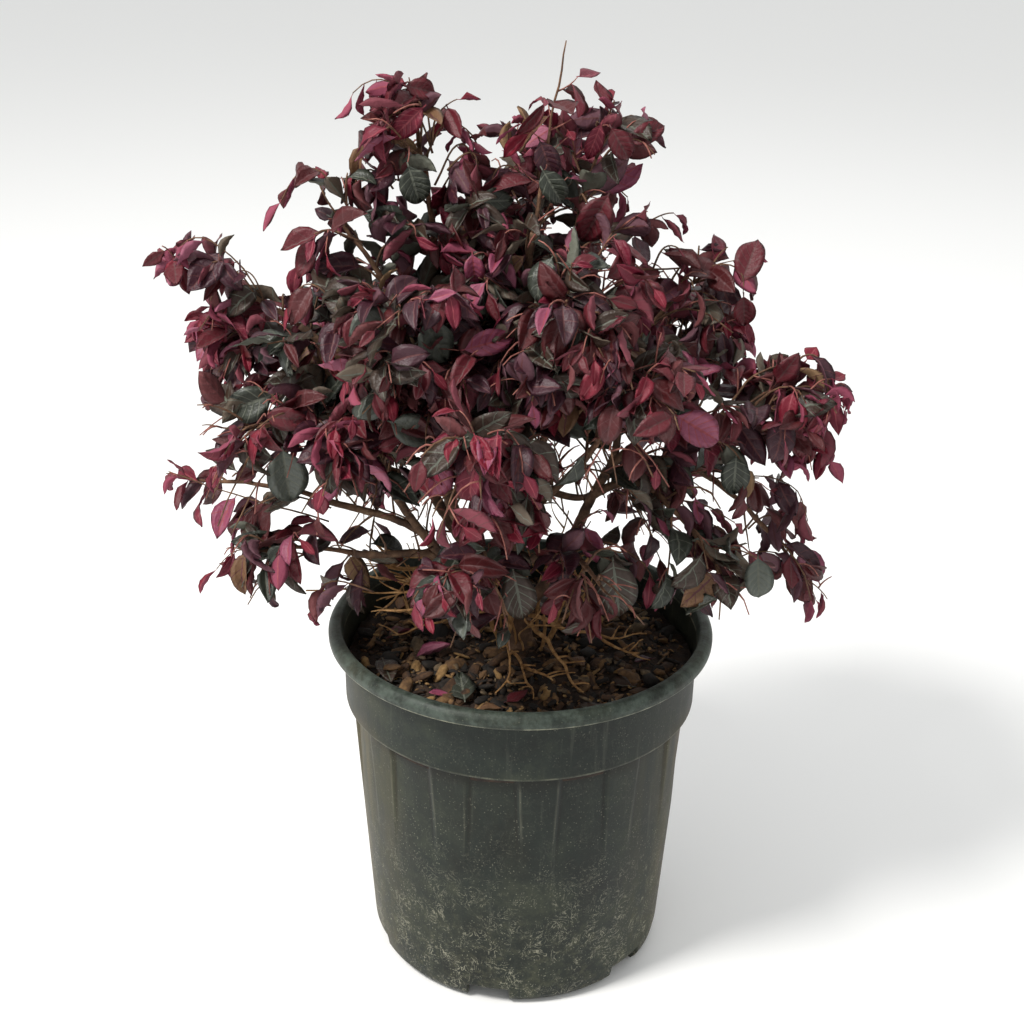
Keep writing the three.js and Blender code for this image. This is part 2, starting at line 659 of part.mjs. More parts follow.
function makeMass(mass, masses, seed) {
  const random = seeded(seed);
  const stem = stemCurve(mass);
  const spray = {
    fits: spaceOf(mass, masses),
    leafLength: mass.half < NARROW_MASS ? NARROW_MASS_LEAF_LENGTH : LEAF_LENGTH,
    leaves: mass.bare ? [] : [endLeaf(stem, place(mass.tip))],
    twigs: [twigOn(stem, STEM_STEPS, taper(STEM_RADIUS, STEM_TIP_RADIUS))],
  };
  const area = place(mass.root).distanceTo(place(mass.tip)) * mass.half;
  const count = Math.max(FEWEST_TWIGS, Math.round(area / AREA_PER_TWIG));
  for (let index = 0; index < count; index += 1) {
    const at = FIRST_TWIG_AT + TWIGS_SPAN * (index + 0.5) / count;
    const turn = TWIG_SPIRAL * index + TWIG_TURN_SPREAD * random();
    const { curve, length } = twigCurve(stem, at, turn, spray.fits);
    if (length < SHORTEST_TWIG || !twigIsClear(curve, TWIG_RADIUS)) continue;
    spray.twigs.push(twigOn(curve, TWIG_STEPS, twigRadius));
  }
  const [main, ...side] = spray.twigs;
  for (const twig of side) addLeavesAlong(twig, TWIG_BARE_SHARE, random, spray);
  addLeavesAlong(main, STEM_BARE_SHARE, random, spray);
  const twigs = spray.twigs.map((twig) => twig.solid);
  const leaves = spray.leaves.map((leaf) => solidOf(leafSolid(leaf)));
  const whole = largestPiece(wasm.Manifold.union([...twigs, ...leaves]).simplify(SHORTEST_EDGE));
  addPart(`foliage_${mass.name}`, geometryOf(whole), leafMaroon);
}

function makeFoliage() {
  const masses = CROWN.flatMap((main) => main.masses);
  masses.forEach((mass, index) => makeMass(mass, masses, FIRST_SEED + SEED_STEP * index));
}

makePot();
makeSoil();
makeLimbs();
makeFoliage();

export default plant;
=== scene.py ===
import math

import bpy
import numpy as np
from mathutils import Matrix, Vector, noise


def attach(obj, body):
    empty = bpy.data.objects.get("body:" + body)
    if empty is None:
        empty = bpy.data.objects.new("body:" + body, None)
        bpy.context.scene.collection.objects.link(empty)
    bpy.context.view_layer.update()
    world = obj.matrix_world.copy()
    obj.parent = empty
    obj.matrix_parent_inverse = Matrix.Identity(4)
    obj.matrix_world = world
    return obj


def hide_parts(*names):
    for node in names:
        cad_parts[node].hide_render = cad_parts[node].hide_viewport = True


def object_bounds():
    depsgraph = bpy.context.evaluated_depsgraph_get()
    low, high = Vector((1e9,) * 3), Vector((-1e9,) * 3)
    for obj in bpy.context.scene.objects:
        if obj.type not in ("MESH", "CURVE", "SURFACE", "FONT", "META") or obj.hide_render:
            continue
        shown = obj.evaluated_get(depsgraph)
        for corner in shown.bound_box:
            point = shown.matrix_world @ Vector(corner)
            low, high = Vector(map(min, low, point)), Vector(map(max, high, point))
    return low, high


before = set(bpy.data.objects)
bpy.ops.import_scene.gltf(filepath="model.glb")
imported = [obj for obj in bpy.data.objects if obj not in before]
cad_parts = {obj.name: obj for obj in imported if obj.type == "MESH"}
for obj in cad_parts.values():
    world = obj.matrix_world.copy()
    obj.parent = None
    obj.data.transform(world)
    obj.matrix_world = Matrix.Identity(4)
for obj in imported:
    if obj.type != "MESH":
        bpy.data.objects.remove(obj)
cad_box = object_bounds()

# A purple-leaved fringe flower shrub in the plastic nursery pot that it was grown in.
# Sizes are in millimetres in the frame of the solids, and each mesh becomes metres as it is made.

MM = 0.001
UP = np.array([0.0, 0.0, 1.0])
# The solids' box, and the one that the leaves stay in, a hundredth of each side larger but no taller
BOX_LOW, BOX_HIGH = np.array(cad_box) / MM
LEAF_BOX_SPARE = 0.01 * (BOX_HIGH - BOX_LOW)
LEAF_BOX_LOW = BOX_LOW - LEAF_BOX_SPARE
LEAF_BOX_HIGH = BOX_HIGH + LEAF_BOX_SPARE * (1, 1, 0)

# Pot
POT_HEIGHT = 264
LIP_RADIUS = 140
LIP_TOP_RADIUS = 137.4
LIP_HEIGHT = 10
LIP_FOOT = POT_HEIGHT - LIP_HEIGHT
LIP_UNDERCUT = 0.8
LIP_INNER_RADIUS = 130.6
MOUTH_RADIUS = 129.7
BAND_RADIUS = 129
BAND_FOOT_RADIUS = 128.4
BAND_FOOT = 207.2
BAND_INNER_FOOT_RADIUS = 126.3
WALL_TOP = 206
WALL_TOP_RADIUS = 123.3
WALL_FOOT = 16
WALL_FOOT_RADIUS = 110.4
FOOT_RADIUS = 103
FOOT_BEND_RADIUS = 108.6
FOOT_BEND = 6
WALL_THICKNESS = 4.6
FLOOR_THICKNESS = 3
FLUTES = 12
FLUTE_DEPTH = 2.5
FLUTE_FADES_AT = 125
FLUTE_HALF_WIDTH = math.radians(8)
FLUTE_FADED_HALF_WIDTH = math.radians(9.5)
FLUTE_EDGE = math.radians(0.7)
FIRST_FLUTE = math.radians(-7.6)
NOTCHES = 6
FIRST_NOTCH = math.radians(-10)
NOTCH_WIDTH = 31
NOTCH_HEIGHT = 14.5
NOTCH_INNER_RADIUS = 86
RAISED_FLOOR = 17.8
RAISED_FLOOR_RADIUS = 79.5
RAISED_FLOOR_SLOPE = 4.5
DRAIN_HOLE_RADIUS = 5
DRAIN_HOLE_PLACE = 95
DRILL_LENGTH = 10
DRILL_MARGIN = 3
DRILL_SIDES = 24
# How far the pot is out of round: the size of each wave round it, how many there are and their start
POT_WAVES = [(0.25, 2, 0.6), (0.15, 5, 1.9)]
POT_COLUMNS = 540
WALL_STEPS = 15
ARC_STEPS = 3
FLAT_MARGIN = 0.35
POT_GLOSS = 0.24

# Compost
SOIL_TOP = 242
SOIL_EDGE_TOP = 238.5
SOIL_RADIUS = 126
SOIL_FOOT = 200
CHIPS = 950
CRUMBS = 1500
CHIP_MARGIN = 11
CRUMB_MARGIN = 6
CHIP_SEED = 9227
SOIL_SEED = 811
SOIL_RINGS = 64
SOIL_COLUMNS = 200
# The compost's lumps and its grit: the scale of their noise, the layer of it and their height
SOIL_RELIEF = [(0.03, 3.1, 3.2), (0.13, 7.7, 2.2)]

# Trunk and boughs
TRUNK_FLARE_RADIUS = 15
TRUNK_RADIUS = 9.5
FORK_RADIUS = 7.5
FLARE_HEIGHT = 12
FORK_HEIGHT = 54
TRUNK_LEAN = np.array([-4.0, 3.0, 0.0])
TRUNK_BEND = 0.4
MAIN_BOUGH_RADIUS = 5
SIDE_BOUGH_RADIUS = 3
BOUGH_TIP_RADIUS = 2.4
BOUGH_BOW = 0.38
BOUGH_RISE = 0.75
STEM_SHARE = 0.72
STEM_ARCH = 0.07
LIMB_STEP = 2.5
FEWEST_LIMB_STEPS = 8
TRUNK_SIDES = 22
BOUGH_SIDES = 14
BALL_SPACING = 3
# Layers of relief on bark: the scale of the noise across and along, and the height as a share of the
# radius, for long ridges, for flaking patches and for the swollen joints where leaves once grew
BARK_LAYERS = [(0.5, 0.09, 0.16), (0.9, 0.6, 0.07), (0.12, 0.12, 0.16)]
DRY_TWIG_LAYERS = [(0.3, 0.3, 0.25)]

# The crown: each main bough, the height above the compost where it leaves the trunk and its turn
# from +X, then its masses of foliage, each with the share of the bough where its side bough starts,
# its root and its furthest tip (turn, distance out, height above the compost) and half its width
CROWN = [
    ("left", 22, -160, [
        ("left_centre", 1, (-158, 95, 134), (-143, 159, 209), 52),
        ("left_low", 0.85, (-161, 125, 179), (-164, 219, 190), 54),
        ("left_spray", 0.7, (-176, 138, 116), (-179, 250, 131), 20),
        ("low_left", 0.5, (-163, 122, 88), (-165, 208, 97), 36),
    ]),
    ("left_upper", 38, 168, [
        ("left_high", 1, (172, 140, 203), (170, 232, 233), 50),
        ("left_arch", 0.72, (180, 152, 240), (179, 243, 289), 26),
    ]),
    ("centre_left", 46, 178, [
        ("top_left", 1, (178, 62, 306), (177, 77, 404), 50),
        ("upper_left", 0.62, (-163, 84, 254), (-172, 138, 345), 38),
    ]),
    ("centre", FORK_HEIGHT, -150, [
        ("top_centre", 1, (-157, 38, 228), (169, 53, 333), 70),
        ("top_right", 0.6, (26, 34, 296), (14, 56, 390), 44),
        ("spire", 0.5, (-72, 14, 310), (-13, 23, 429), 18),
        ("back_top", 0.7, (100, 35, 252), (82, 95, 360), 52),
    ]),
    ("right", 28, -8, [
        ("right", 1, (-12, 95, 176), (-8, 216, 208), 50),
        ("right_high", 0.75, (12, 75, 225), (11, 138, 292), 44),
        ("right_low", 0.6, (-21, 97, 138), (-25, 167, 75), 42),
        ("right_spray", 0.7, (10, 137, 124), (6, 227, 30), 28),
    ]),
    ("front", 34, -96, [
        ("front_centre", 1, (-101, 71, 145), (-99, 187, 242), 54),
        ("mid_left", 0.66, (-133, 68, 185), (-131, 139, 296), 68),
        ("mid_right", 0.75, (-72, 53, 194), (-76, 114, 317), 68),
        ("front_right", 0.6, (-51, 71, 176), (-61, 155, 260), 52),
        ("low_front_left", 0.4, (-113, 53, 92), (-104, 153, 116), 38),
        ("low_front_right", 0.3, (-56, 54, 100), (-67, 152, 108), 38),
    ]),
    ("back", 42, 92, [
        ("back_centre", 1, (88, 72, 165), (93, 170, 262), 54),
        ("back_left", 0.8, (135, 88, 160), (138, 200, 232), 50),
        ("back_right", 0.8, (44, 88, 155), (42, 200, 225), 50),
        ("back_low_left", 0.5, (130, 80, 92), (140, 185, 96), 46),
        ("back_low_right", 0.5, (52, 80, 92), (44, 185, 88), 46),
        ("back_low", 0.35, (94, 66, 74), (92, 172, 92), 46),
    ]),
]
BARE_STEMS = ("spire",)
# Places in the plane of the pot's axis, as X and height, where the photo shows sky past the leaves in
# front of and behind them, and how wide the sky is to each side
SKY_GAPS = [
    (10, 404, 7), (33, 398, 11), (56, 388, 13), (76, 406, 7), (94, 395, 8), (24, 360, 8), (52, 365, 12),
    (45, 348, 10), (77, 333, 11), (86, 327, 12), (104, 310, 9), (131, 369, 8), (118, 359, 7),
    (-113, 345, 13), (-92, 339, 11), (-125, 355, 8), (-76, 346, 10), (-58, 361, 7), (-47, 355, 7),
    (-89, 377, 6), (-65, 351, 9), (-171, 349, 11), (-146, 369, 7), (148, 375, 9), (157, 352, 10),
    (126, 344, 9), (-117, 600, 9), (-120, 619, 8), (-148, 557, 9), (-136, 546, 7), (-24, 596, 10),
    (-28, 582, 8), (82, 597, 9), (78, 576, 7), (127, 555, 7), (-166, 513, 9), (-222, 408, 10),
    (-226, 386, 9), (-202, 366, 8), (-185, 337, 7), (-215, 308, 8), (-204, 274, 8), (221, 414, 9),
    (165, 383, 9), (173, 281, 8), (146, 274, 7), (218, 295, 7), (88, 331, 11), (124, 375, 8), (-122, 345, 8),
    (25, 566, 7), (17, 553, 6), (53, 525, 6), (53, 512, 6), (86, 532, 8), (111, 533, 5), (125, 520, 3),
    (107, 515, 3), (131, 484, 4), (106, 484, 4),
]
# Thin shoots that stand out of the crown's edge in the photo, under the mass that they belong to: where
# each leaves the crown, its crest and its tip, and how much darker than the rest its leaves are
EDGE_SHOOTS = [
    ("left_arch", [
        ((-172, -2, 496), (-208, -2, 540), (-231, -2, 530), -0.8),
        ((-174, -2, 498), (-182, -2, 516), (-194, -2, 518), 0.5),
        ((-180, -5, 505), (-197, -5, 520), (-210, -5, 500), 0),
    ]),
    ("upper_left", [
        ((-112, -20, 562), (-136, -20, 592), (-156, -20, 572), -0.6),
        ((-105, -30, 548), (-130, -30, 554), (-146, -30, 534), -0.3),
    ]),
    ("mid_left", [
        ((-117, -60, 512), (-133, -60, 529), (-146, -60, 519), 0),
    ]),
    ("top_left", [
        ((-62, 0, 600), (-84, 0, 641), (-112, 0, 637), -0.8),
        ((-63, -4, 606), (-68, -4, 636), (-84, -4, 638), -0.8),
        ((-62, -6, 606), (-57, -6, 625), (-46, -6, 634), -0.8),
        ((-40, 0, 574), (-32, 0, 602), (-50, 0, 622), -0.4),
        ((-52, -12, 590), (-36, -12, 602), (-32, -12, 585), -0.4),
        ((-87, -10, 577), (-104, -10, 590), (-116, -10, 568), 0),
        ((-69, -8, 600), (-96, -8, 609), (-111, -8, 590), -0.5),
        ((-60, -6, 580), (-46, -6, 605), (-34, -6, 597), -0.6),
        ((-58, -2, 570), (-44, -2, 591), (-32, -2, 578), -0.3),
        ((-66, -4, 598), (-52, -4, 619), (-37, -4, 610), -0.8),
    ]),
    ("spire", [
        ((-4, -3, 588), (-18, -3, 592), (-25, -3, 574), 0),
    ]),
    ("right_high", [
        ((62, 20, 534), (80, 20, 552), (97, 20, 558), 0.6),
        ((76, 20, 520), (118, 20, 522), (146, 20, 528), -0.8),
        ((84, 16, 522), (94, 16, 538), (106, 16, 528), -0.5),
        ((118, 20, 521), (140, 15, 523), (146, 8, 508), -0.8),
        ((96, 16, 500), (122, 12, 506), (134, 10, 490), -0.2),
    ]),
    ("right", [
        ((165, -25, 444), (192, -25, 454), (214, -25, 440), 0.4),
        ((172, -28, 462), (190, -28, 477), (205, -28, 455), -0.5),
        ((160, -30, 424), (187, -30, 430), (207, -30, 406), -0.7),
        ((122, -40, 421), (143, -40, 410), (149, -40, 382), 1.2),
    ]),
    ("right_spray", [
        ((160, 24, 325), (186, 24, 354), (202, 24, 332), 0),
        ((164, 24, 328), (181, 24, 336), (193, 24, 308), 1),
        ((155, 20, 305), (190, 20, 308), (216, 20, 274), -0.2),
    ]),
    ("right_low", [
        ((87, -40, 370), (115, -40, 376), (144, -40, 362), -0.4),
    ]),
    ("left_spray", [
        ((-135, -12, 342), (-200, -12, 362), (-246, -12, 378), -0.3),
        ((-133, -20, 357), (-170, -20, 364), (-201, -20, 343), 0.5),
    ]),
    ("low_left", [
        ((-150, -50, 322), (-183, -50, 338), (-208, -50, 323), 0),
        ((-100, -60, 312), (-129, -60, 320), (-141, -60, 302), 1),
        ((-117, -36, 330), (-110, -24, 324), (-92, -10, 316), 1.2),
        ((-117, -36, 330), (-124, -26, 320), (-138, -12, 300), 1.4),
        ((-117, -36, 330), (-110, -30, 312), (-124, -24, 296), 1.6),
        ((-104, -30, 322), (-106, -10, 336), (-104, 0, 346), 1.2),
    ]),
    ("right_low", [
        ((90, -34, 380), (88, -26, 350), (100, -20, 316), 0.2),
        ((100, -40, 375), (122, -35, 354), (138, -30, 312), -0.2),
        ((110, -46, 368), (136, -36, 354), (152, -28, 324), 0),
    ]),
    ("low_front_right", [
        ((34, -56, 343), (66, -50, 347), (94, -44, 312), 0.3),
    ]),
    ("right_low", [
        ((66, -30, 402), (84, -34, 404), (98, -38, 358), -0.3),
        ((84, -30, 388), (104, -34, 398), (122, -38, 366), -0.4),
    ]),
    ("right_spray", [
        ((134, 22, 366), (180, 0, 376), (200, 0, 346), 0.4),
    ]),
]
# How many times sparser than the rest some masses are
SPARSER = {
    "top_left": 1.3, "right_high": 1.7, "upper_left": 1.7, "left_arch": 1.5, "left_spray": 1.5,
    "right_low": 1.4, "right_spray": 2, "low_left": 1.3, "left_low": 1.15, "top_right": 1.3, "right": 1.25,
}
# How much darker than the rest the leaves of some masses are, in steps of tint
DARKER = {
    "low_left": 1.2, "right_low": 1.2, "mid_left": 0.6, "mid_right": 0.5, "low_front_left": 0.9,
    "low_front_right": 0.9, "left_centre": -0.6, "left_high": -0.6, "top_left": -0.3, "right": -0.3,
}

# Leaves that stand out in the photo: where they hang, the way they point, their size and their tint
MARKED_LEAVES = [
    ((60, -95, 330), (0.15, 0, -1), 42, 30, "umber"),
    ((-54, -95, 505), (0.5, 0, -1), 30, 25, "slate"),
    ((-58, -110, 463), (1, 0, -0.4), 32, 23, "slate"),
    ((-151, -60, 396), (0.1, 0, -1), 38, 31, "slate"),
    ((-22, -100, 505), (1, 0, 0.3), 35, 18, "rose"),
    ((112, -90, 452), (1, 0, -0.6), 34, 25, "rose"),
    ((164, -70, 335), (0.1, 0, -1), 30, 22, "slate"),
    ((-184, -50, 438), (-1, 0, -0.4), 34, 26, "bottle"),
    ((142, 8, 534), (0.3, 0, 1), 34, 22, "wine"),
    ((144, 5, 500), (0.1, 0, -1), 22, 17, "wine"),
    ((145, -60, 404), (0, 0, -1), 28, 22, "bottle"),
    ((-68, -90, 391), (-0.3, 0, -1), 30, 24, "rose"),
    ((7, -100, 337), (0.2, 0, -1), 38, 25, "umber"),
    ((10, -15, 602), (0.4, 0, -1), 27, 18, "plum"),
    ((32, -10, 618), (-0.35, 0, -1), 26, 13, "burgundy"),
    ((57, -15, 615), (0.5, 0, -0.8), 25, 17, "wine"),
    ((73, -10, 617), (1, 0, 0.5), 28, 15, "wine"),
    ((41, -25, 599), (-0.6, 0, -0.8), 32, 19, "maroon"),
    ((55, -30, 585), (-0.45, 0, -0.9), 38, 25, "wine"),
    ((4, -30, 582), (0.5, 0, -0.8), 28, 18, "bottle"),
    ((-51, -35, 579), (0.3, 0, -1), 26, 22, "bottle"),
    ((-79, -20, 620), (-0.7, 0, -0.7), 30, 17, "burgundy"),
    ((-72, -10, 640), (1, 0, -0.2), 22, 15, "wine"),
    ((-51, -25, 602), (0.2, 0, -1), 27, 21, "plum"),
    ((-44, -60, 549), (0.1, 0, -1), 22, 15, "rose"),
    ((9, -60, 543), (0.1, 0, -1), 25, 18, "maroon"),
]

# How deep in front of a leaf that stands out others would hide it, and how wide as a share of its length
HIDING_DEPTH = 60
HIDING_BREADTH = 0.62

# Foliage
BULGE = 3
SPACE_CLEARANCE = 0.4
LOWEST_LEAF = 268
LIMB_CLEARANCE = 1.5
FIRST_SEED = 5003
EDGE_SEED = 30011
SEED_STEP = 97
TWIG_SPIRAL = math.radians(137.5)
# Shares of a stem's or a twig's length where its twigs or shoots start, and over which they go on
TWIGS_FROM = 0.06
TWIGS_OVER = 0.9
SHOOTS_FROM = 0.16
SHOOTS_OVER = 0.76
FEWEST_TWIGS = 3
TWIG_TURN_SPREAD = 0.8
TWIG_TONE_SPREAD = 0.95
AREA_PER_TWIG = 400
TWIG_SPREAD = math.radians(58)
TIP_TWIG_SPREAD = math.radians(38)
LONGEST_TWIG = 105
# How far twigs go towards the end of their space, and then rise, droop and sway, as shares of length
TWIG_FILL = (0.7, 1.1)
TWIG_RISE = (0.08, 0.28)
TWIG_DROOP = (0.0, 0.36)
TWIG_SWAY = 0.22
SHORTEST_TWIG = 16
REACH_STEP = 3
END_TONE = -0.5
SHOOT_SPACING = 14
SHOOTS_PER_SPACING = 0.78
SHORTEST_SHOOT = 8
# A shoot's length, what each millimetre of its twig adds to it, the share of that which it has at the
# twig's foot, and the share which is lost on the way to the tip
SHOOT_LENGTH = 24
SHOOT_LENGTH_PER_TWIG = 0.28
SHOOT_AT_FOOT = 1.05
SHOOT_LOSS = 0.6
SHOOT_RISE = (0.05, 0.3)
SHOOT_SINK = (0.0, 0.45)
SHOOT_SWAY = 0.15
# The bare leader's shoots: how many, where along it, and how far out they would reach at its two ends
LEADER_SHOOTS = 9
LEADER_SHOOT_PLACES = (0.16, 0.72)
LEADER_REACH = (26, 9)
BOUGH_TWIG_SPACING = 15
BOUGH_TWIG_PLACES = (0.2, 0.98)
LEAFY_FROM = 375
LEAFY_TWIG_LENGTH = (32, 62)
BARE_TWIG_LENGTH = (14, 46)
FORKED_SHARE = 0.6
# How many steps of tint darker the leaves on the boughs inside the crown are, as painted shade for the
# crown's inside
INNER_SHADE_TINT_STEPS = 1.8
MASSES_PER_PIECE = 3
SKY_GAP_MARGIN = 5
# The radius of each kind of twig at its foot and at its tip, its sides and its fewest lengthwise steps
TWIG_FORMS = {
    "stem": (2.3, 1.1, 6, 10),
    "leader": (1.6, 0.4, 6, 12),
    "leader shoot": (0.6, 0.34, 4, 4),
    "edge shoot": (0.85, 0.4, 4, 10),
    "bough twig": (1.0, 0.45, 4, 6),
    "bare fork": (0.7, 0.4, 4, 4),
    "twig": (1.05, 0.5, 4, 5),
    "end": (1.1, 0.4, 4, 8),
    "shoot": (0.72, 0.42, 4, 4),
}
TWIG_STEP = 9
# Twigs are brown, and red where they are no thicker than this
RED_TWIG_RADIUS = 0.8
TWIG_TINTS = [
    ("twig_brown", (70, 48, 36), (104, 74, 54), (134, 102, 76)),
    ("twig_red", (104, 58, 52), (142, 86, 76), (168, 116, 104)),
]
# How far twigs stray from their curves, the dead ones more, and how close together their kinks are
TWIG_STRAY = 1.8
DRY_TWIG_STRAY = 4.5
STRAY_SCALE = 0.05
STRAY_SEED = 12
LEAF_SPACING = 8.6
EDGE_LEAF_SPACING = 10
LEAF_TRIES = 4
# How far round its twig a leaf may go, how much further and shorter at each new try, and the places
# along it that must have room
LEAF_ROUND = 0.9
FURTHER_PER_TRY = 0.3
SHORTER_PER_TRY = 0.12
LEAF_MARKS = np.array([[0.4], [0.75], [1.0]])
# How much a leaf's upper side turns up, out of the crown and its own way
FACE_UP = 0.8
FACE_OUT = 0.45
FACE_LOOSE = 0.95
LEAF_FOOT_OUT = 2.6
# How far a leaf or a shoot may stand out of its mass's space
RAGGED = 7
# How much a leaf ages over its twig's length and with each of the first few leaves from the tip, and
# how far its own age strays; leaves older than the last may be dry
AGE_OVER_TWIG = 0.7
AGE_PER_LEAF = 0.15
AGING_LEAVES = 3
AGE_SPREAD = 0.16
DRY_AGE = 0.6
DRY_SHARE = 0.012
# How much leaves point down, from the least to the most, inside the crown and at its thin edge
CROWN_DROOP = (-0.35, 0.85)
EDGE_DROOP = (0.35, 1.3)
YOUNG_LEAF = 18
OLD_LEAF = 31
YOUNG_BREADTH = 0.52
OLD_BREADTH = 0.62


# Small helpers

def unit(vector):
    return vector / max(np.linalg.norm(vector), 1e-9)


def mix(a, b, share):
    return a + (b - a) * share


def share_of(value, low, high):
    return min(1.0, max(0.0, (value - low) / (high - low)))


def perpendicular(direction, wanted):
    return unit(wanted - direction * np.dot(wanted, direction))


def turned(vector, axis, angle):
    """The vector turned about a unit axis at right angles to it."""
    return vector * math.cos(angle) + np.cross(axis, vector) * math.sin(angle)


def place(turn, out, height):
    angle = math.radians(turn)
    return np.array([out * math.cos(angle), out * math.sin(angle), SOIL_TOP + height])


def srgb(red, green, blue):
    """A colour as a shader takes it, from its parts out of 255 as a screen shows them."""
    parts = [value / 255 for value in (red, green, blue)]
    linear = [((part + 0.055) / 1.055) ** 2.4 if part > 0.04045 else part / 12.92 for part in parts]
    return (*linear, 1.0)


class Seeded:
    """Numbers that look random and come out the same each time."""

    def __init__(self, seed):
        self.state = seed

    def next(self):
        self.state = self.state * 16807 % 2147483647
        return self.state / 2147483647

    def between(self, low, high):
        return low + (high - low) * self.next()

    def around(self, spread):
        return self.between(-spread, spread)

    def pick(self, items):
        return items[min(len(items) - 1, int(self.next() * len(items)))]


class Curve:
    """A curve that starts at the first of its points, ends at the last and is pulled by the others."""

    def __init__(self, *points):
        self.points = [np.array(point, float) for point in points]

    def at(self, t):
        points = self.points
        while len(points) > 1:
            points = [mix(a, b, t) for a, b in zip(points, points[1:])]
        return points[0]

    def aim(self, t):
        points = [b - a for a, b in zip(self.points, self.points[1:])]
        return unit(Curve(*points).at(t)) if len(points) > 1 else unit(points[0])

    def length(self):
        places = [self.at(step / 16) for step in range(17)]
        return sum(float(np.linalg.norm(b - a)) for a, b in zip(places, places[1:]))


def taper(thick, thin):
    """The radius at each share of the length of a limb that thins evenly."""
    def radius(t):
        return mix(thick, thin, t)
    return radius


def add_object(name, data):
    added = bpy.data.objects.new(name, data)
    bpy.context.scene.collection.objects.link(added)
    return added


class Gathered:
    """The points and faces of one piece, gathered part by part."""

    def __init__(self):
        self.points = []
        self.quads = []
        self.slots = []
        self.count = 0

    def add(self, points, quads, slots=0):
        quads = np.asarray(quads)
        self.points.append(np.asarray(points, float))
        self.quads.append(quads + self.count)
        self.slots.append(np.broadcast_to(slots, len(quads)))
        self.count += len(points)

    def mesh(self, name, materials=()):
        points = np.concatenate(self.points) * MM
        quads = np.concatenate(self.quads)
        mesh = bpy.data.meshes.new(name)
        mesh.vertices.add(len(points))
        mesh.vertices.foreach_set("co", points.ravel())
        mesh.loops.add(quads.size)
        mesh.loops.foreach_set("vertex_index", quads.ravel().astype(np.int32))
        mesh.polygons.add(len(quads))
        mesh.polygons.foreach_set("loop_start", np.arange(len(quads), dtype=np.int32) * 4)
        for material in materials:
            mesh.materials.append(material)
        mesh.polygons.foreach_set("material_index", np.concatenate(self.slots).astype(np.int32))
        mesh.update(calc_edges=True)
        mesh.validate()
        return mesh

    def piece(self, name, materials, slot, replaces=(), smooth=True):
        mesh = self.mesh(name, materials)
        if smooth:
            mesh.shade_smooth()
        piece = add_object(name, mesh)
        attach(piece, "root")
        if replaces:
            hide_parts(*replaces)
        return piece


def ring_quads(rings, sides):
    """Quads that join rings of an even number of points, with both ends closed."""
    ring = np.arange(rings - 1)[:, None] * sides
    side = np.arange(sides)[None, :]
    after = (side + 1) % sides
    walls = np.stack([ring + side, ring + after, ring + sides + after, ring + sides + side], axis=-1)
    strip = np.arange(sides // 2 - 1)
    last = (rings - 1) * sides
    start = np.stack([strip, sides - 1 - strip, sides - 2 - strip, strip + 1], axis=-1)
    end = last + np.stack([strip, strip + 1, sides - 2 - strip, sides - 1 - strip], axis=-1)
    return np.concatenate([walls.reshape(-1, 4), start, end])


def tube(curve, sides, steps, radii, relief=None):
    """Points and quads of a tapered tube, with the relief added to its radius where there is one."""
    across = np.array([0.31, 0.87, 0.38])
    points = []
    for step in range(steps + 1):
        t = step / steps
        centre = curve.at(t)
        aim = curve.aim(t)
        across = perpendicular(aim, across)
        other = np.cross(aim, across)
        for side in range(sides):
            angle = side / sides * 2 * math.pi
            out = across * math.cos(angle) + other * math.sin(angle)
            radius = radii(t)
            if relief:
                radius += relief(centre + out * radius, radius)
            points.append(centre + out * radius)
    return np.array(points), ring_quads(steps + 1, sides)


# Materials

